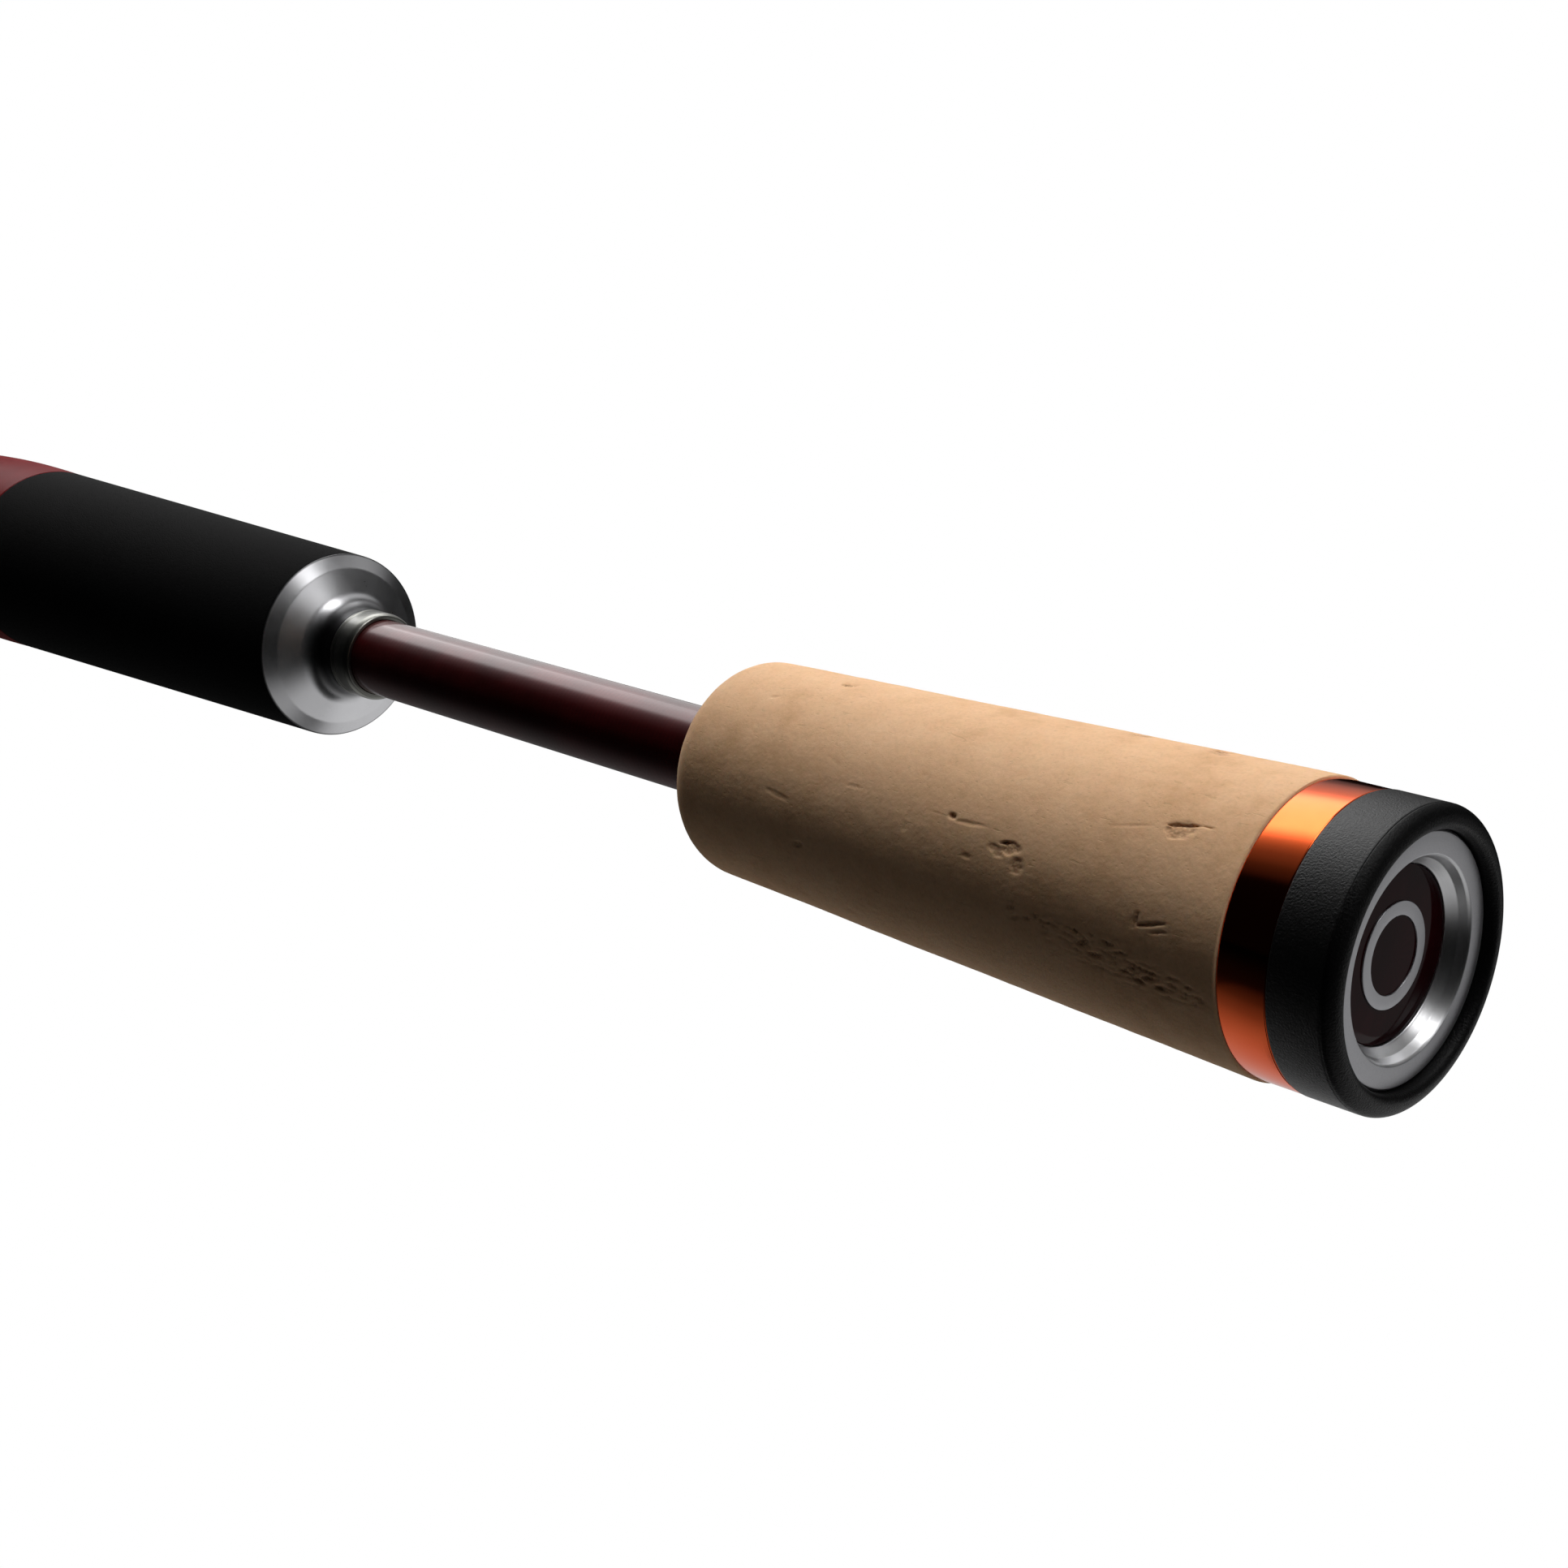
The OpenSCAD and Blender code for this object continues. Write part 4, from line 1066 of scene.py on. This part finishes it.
def guide(n, feet):
    wrap = "guide_%d_wrap" % n
    x, z, bore = ring_facts("guide_%d_ring" % n)
    toe, heel, _ = span("guide_%d_frame" % n)
    head = span(wrap + "_rear" if feet > 1 else wrap)[1] + foot_gap
    out = bore + ring_t + leg_in
    spread = math.radians(25)
    side, drop = out * math.cos(spread), out * math.sin(spread)
    seat = blank_at(toe) + glue + foot_t - leg_in
    foot_y = foot_half(head) - 0.3
    parts = [hoop(x, z, bore), tongue(head + foot_in, toe)]
    for s in (-1, 1):
        parts.append(leg([
            (x, s * side, z - drop), (x - 0.2 * (x - head), s * side * 0.93, z - drop - 0.2 * (z - seat)),
            (head + 0.25 * (x - head), s * (foot_y + 0.22 * side), seat + 0.22 * (z - seat)),
            (head - 0.2, s * foot_y, seat + 0.1), (head - 1.6, s * foot_y * 0.7, seat - 0.12)]))
    if feet > 1:
        far = span(wrap + "_front")[0] - foot_gap
        base = blank_at(far) + glue + foot_t - leg_in
        under = z - out
        parts += [tongue(far - foot_in, heel), leg([
            (x, 0, under), (x + 0.25 * (far - x), 0, under - 0.2 * (under - base)),
            (far - 0.2 * (far - x), 0, base + 0.2 * (under - base)), (far + 0.3, 0, base),
            (far + 1.6, 0, base - 0.12)])]
    fitted("guide_%d" % n, joined(*parts), "guide_%d_frame" % n)
    ceramic("guide_%d_ceramic" % n, "guide_%d_ring" % n)


for n in range(1, 7):
    guide(n, 2 if n < 3 else 1)


def tip_top():
    x, z, bore = ring_facts("tip_ring")
    tube_x, tube_end = span("tip_wrap")[1] + 0.2, x + hoop_half
    tube_r, bore_gap = blank_at(tube_x) + 0.5, 0.04
    hole, out = bore + ring_t + hoop_gap, bore + ring_t + leg_in
    tube = turned([
        (tube_x, blank_at(tube_x) + bore_gap), (tube_x, tube_r, 0.2), (tube_x + 3.2, tube_r, 0.2),
        (tube_x + 3.5, tube_r - 0.18, 0.1), (tube_end, tube_r - 0.25, 0.3), (tube_end, tip_r + bore_gap),
        (tip_stop, tip_r + bore_gap)], "guide_metal", 64)
    spare = turned([(-1.1, 0.0), (-1.1, hole), (3.0, hole), (3.0, 0.0)], "guide_metal", 72, closed=False)
    tube = cut_or_join(tube, shifted(spare, x, z), "DIFFERENCE")
    parts = [outward(dressed(tube, FINISH["guide_metal"])), hoop(x, z, bore)]
    for s in (-1, 1):
        parts.append(leg([
            (tube_x + 2.4, s * (tube_r - leg_in), 0.1), (tube_x + 5.0, s * (tube_r - 0.1), 0.9),
            (x - 3.5, s * out * 0.9, z - 1.2), (x, s * out, z)], tip_leg_r))
    fitted("tip_top", joined(*parts), "tip_frame")
    ceramic("tip_ceramic", "tip_ring")


tip_top()


# Hook keeper

keeper_low, keeper_high = box("keeper_loop")
pin_r, corner = 0.5, 0.55
leg_y = 0.5 * (keeper_high[1] - keeper_low[1]) - pin_r
hinge_x = keeper_low[0] + pin_r
hinge_z = 0.5 * (keeper_low[2] + keeper_high[2])
bow_x = keeper_high[0] - pin_r - leg_y
bow = [(hinge_x, 0.6), (hinge_x, leg_y - corner)]
bow += arc(hinge_x + corner, leg_y - corner, corner, 165, 90, 5) + arc(bow_x, 0.0, leg_y, 90, 0, 9)
bow += [(x, -y) for x, y in reversed(bow[:-1])]
loop = wire([(x, y, hinge_z) for x, y in bow], pin_r, "keeper_wire", 18)
fitted("keeper_bow", loop, "keeper_loop", body="keeper_loop")
softened("keeper_base", "guide_metal", 0.12)


# Camera, floor and light, in metres

def camera():
    """Placed by how the camera sees the rod's axis, its upright and its butt end, in mm."""
    sight = Vector((-0.69166, -0.20638, 0.69211)).normalized()
    upright = Vector((0.0, -0.9583, -0.2858)).normalized()
    across = upright.cross(sight)
    set_back, focal_px, wide_px, film = 0.5, 2850, 1932, 36.0
    butt = Vector((50.517, 14.227, 184.006)) - set_back * sight
    place = Vector([-butt.dot(axis) for axis in (sight, across, upright)]) * MM
    turn = Matrix([(axis.x, -axis.y, -axis.z) for axis in (sight, across, upright)])
    data = bpy.data.cameras.new("camera")
    data.sensor_fit, data.sensor_width, data.lens = "HORIZONTAL", film, film * focal_px / wide_px
    data.clip_start, data.clip_end = 0.005, 60.0
    view = placed("camera", data)
    view.matrix_world = Matrix.Translation(place) @ turn.to_4x4()
    bpy.context.scene.camera = view


def softbox(name, place, target, long, wide, glow):
    """A flat lamp of that glow, long along X."""
    data = bpy.data.lights.new(name, "AREA")
    data.shape, data.size, data.size_y = "RECTANGLE", long, wide
    data.energy = 4 * glow * long * wide
    lamp = placed(name, data)
    back = (Vector(place) - Vector(target)).normalized()
    along = Vector((1, 0, 0))
    along = (along - back * along.dot(back)).normalized()
    up = back.cross(along)
    lamp.matrix_world = Matrix.Translation(place) @ Matrix((along, up, back)).transposed().to_4x4()
    lamp.visible_camera = False
    return data


def graded(name, start, end, reach, steps):
    """A long lamp beside the rod. Its glow goes by degrees about the rod, from the top towards +Y."""
    low, high = steps[0][0], steps[-1][0]
    mid, half = math.radians(0.5 * (low + high)), math.radians(0.5 * (high - low))
    top = max(glow for _, glow in steps)
    x = 0.5 * (start + end)
    lamp = softbox(name, (x, reach * math.sin(mid), reach * math.cos(mid)), (x, 0.0, 0.0), end - start,
                   2 * reach * math.tan(half), top)
    lamp.use_nodes = True
    w = Work(lamp.node_tree)
    _, across, _ = w.axes(w.node("ShaderNodeNewGeometry", out="Parametric"))
    level = w.ramp(across, [(0.5 + 0.5 * math.tan(math.radians(a) - mid) / math.tan(half), (glow / top,) * 3)
                            for a, glow in steps])
    w.tree.links.new(level.socket, w.tree.nodes["Emission"].inputs["Color"])


def pale_ground():
    """A pale floor and a white surround that stay even behind the rod."""
    far, floor_z = 9, -0.32
    white, shade, surround = (1.0, 1.0, 1.0), (0.01, 0.01, 0.01), (0.0015, 0.0015, 0.0016)
    mesh = bpy.data.meshes.new("floor")
    mesh.from_pydata([(x, y, floor_z) for x, y in ((-far, -far), (far, -far), (far, far), (-far, far))], [],
                     [(0, 1, 2, 3)])
    floor = placed("floor", mesh)
    pale = bpy.data.materials.new("floor")
    pale.use_nodes = True
    w = Work(pale.node_tree)
    seen = w.node("ShaderNodeLightPath", out="Is Camera Ray")
    matt = w.node("ShaderNodeBsdfDiffuse", {"Color": (*shade, 1.0)})
    bright = w.node("ShaderNodeEmission", {"Color": (*white, 1.0), "Strength": 1.0})
    mixed = w.node("ShaderNodeMixShader", {0: seen, 1: matt, 2: bright})
    w.tree.links.new(mixed.socket, w.tree.nodes["Material Output"].inputs["Surface"])
    mesh.materials.append(pale)
    world = bpy.data.worlds.new("surround")
    bpy.context.scene.world = world
    world.use_nodes = True
    w = Work(world.node_tree)
    seen = w.node("ShaderNodeLightPath", out="Is Camera Ray")
    w.tree.links.new(w.mix(seen, surround, white).socket, w.tree.nodes["Background"].inputs["Color"])


camera()
pale_ground()
over_reach, table_reach = 0.75, 0.31
TABLE = [(118, 0.0), (129, 0.04), (141, 0.12), (153, 0.24), (165, 0.34), (177, 0.4), (201, 0.44), (242, 0.44)]
graded("overhead", 0.25, 1.85, over_reach, [
    (-84, 0.04), (-75, 0.12), (-63, 0.38), (-53, 0.6), (-47, 1.1), (-41, 2.5), (-36, 3.0), (-5, 3.0),
    (0, 2.0), (4, 1.0), (8, 0.47), (13, 0.25), (19, 0.13), (30, 0.04), (41, 0.0)])
graded("rear_overhead", -0.3, 0.02, over_reach, [
    (-75, 0.1), (-55, 0.45), (-20, 0.5), (5, 0.5), (20, 0.3), (35, 0.0)])
graded("rear_table", -0.36, -0.06, table_reach, TABLE)
graded("front_table", 0.16, 0.4, table_reach, TABLE)
graded("far_table", 0.4, 1.1, table_reach, [(a, 0.2 * glow) for a, glow in TABLE])
graded("mid_table", -0.06, 0.16, table_reach, [(188, 0.0), (197, 0.3), (205, 0.44), (242, 0.44)])
softbox("backdrop", (1.47, -0.93, 0.36), (0.1, 0.0, 0.0), 0.6, 1.1, 0.9)
softbox("end", (-0.58, -0.169, 0.274), (0.153, 0.0, 0.0), 0.27, 0.27, 0.95)
softbox("key", (-0.2, -0.05, 0.58), (-0.2, 0.0, 0.0), 0.6, 0.22, 3.6)
softbox("card", (-0.163, -0.285, -0.121), (0.0, 0.0, 0.0), 0.22, 0.22, 0.36)
bpy.context.scene.view_settings.view_transform = "Standard"

bpy.context.view_layer.update()
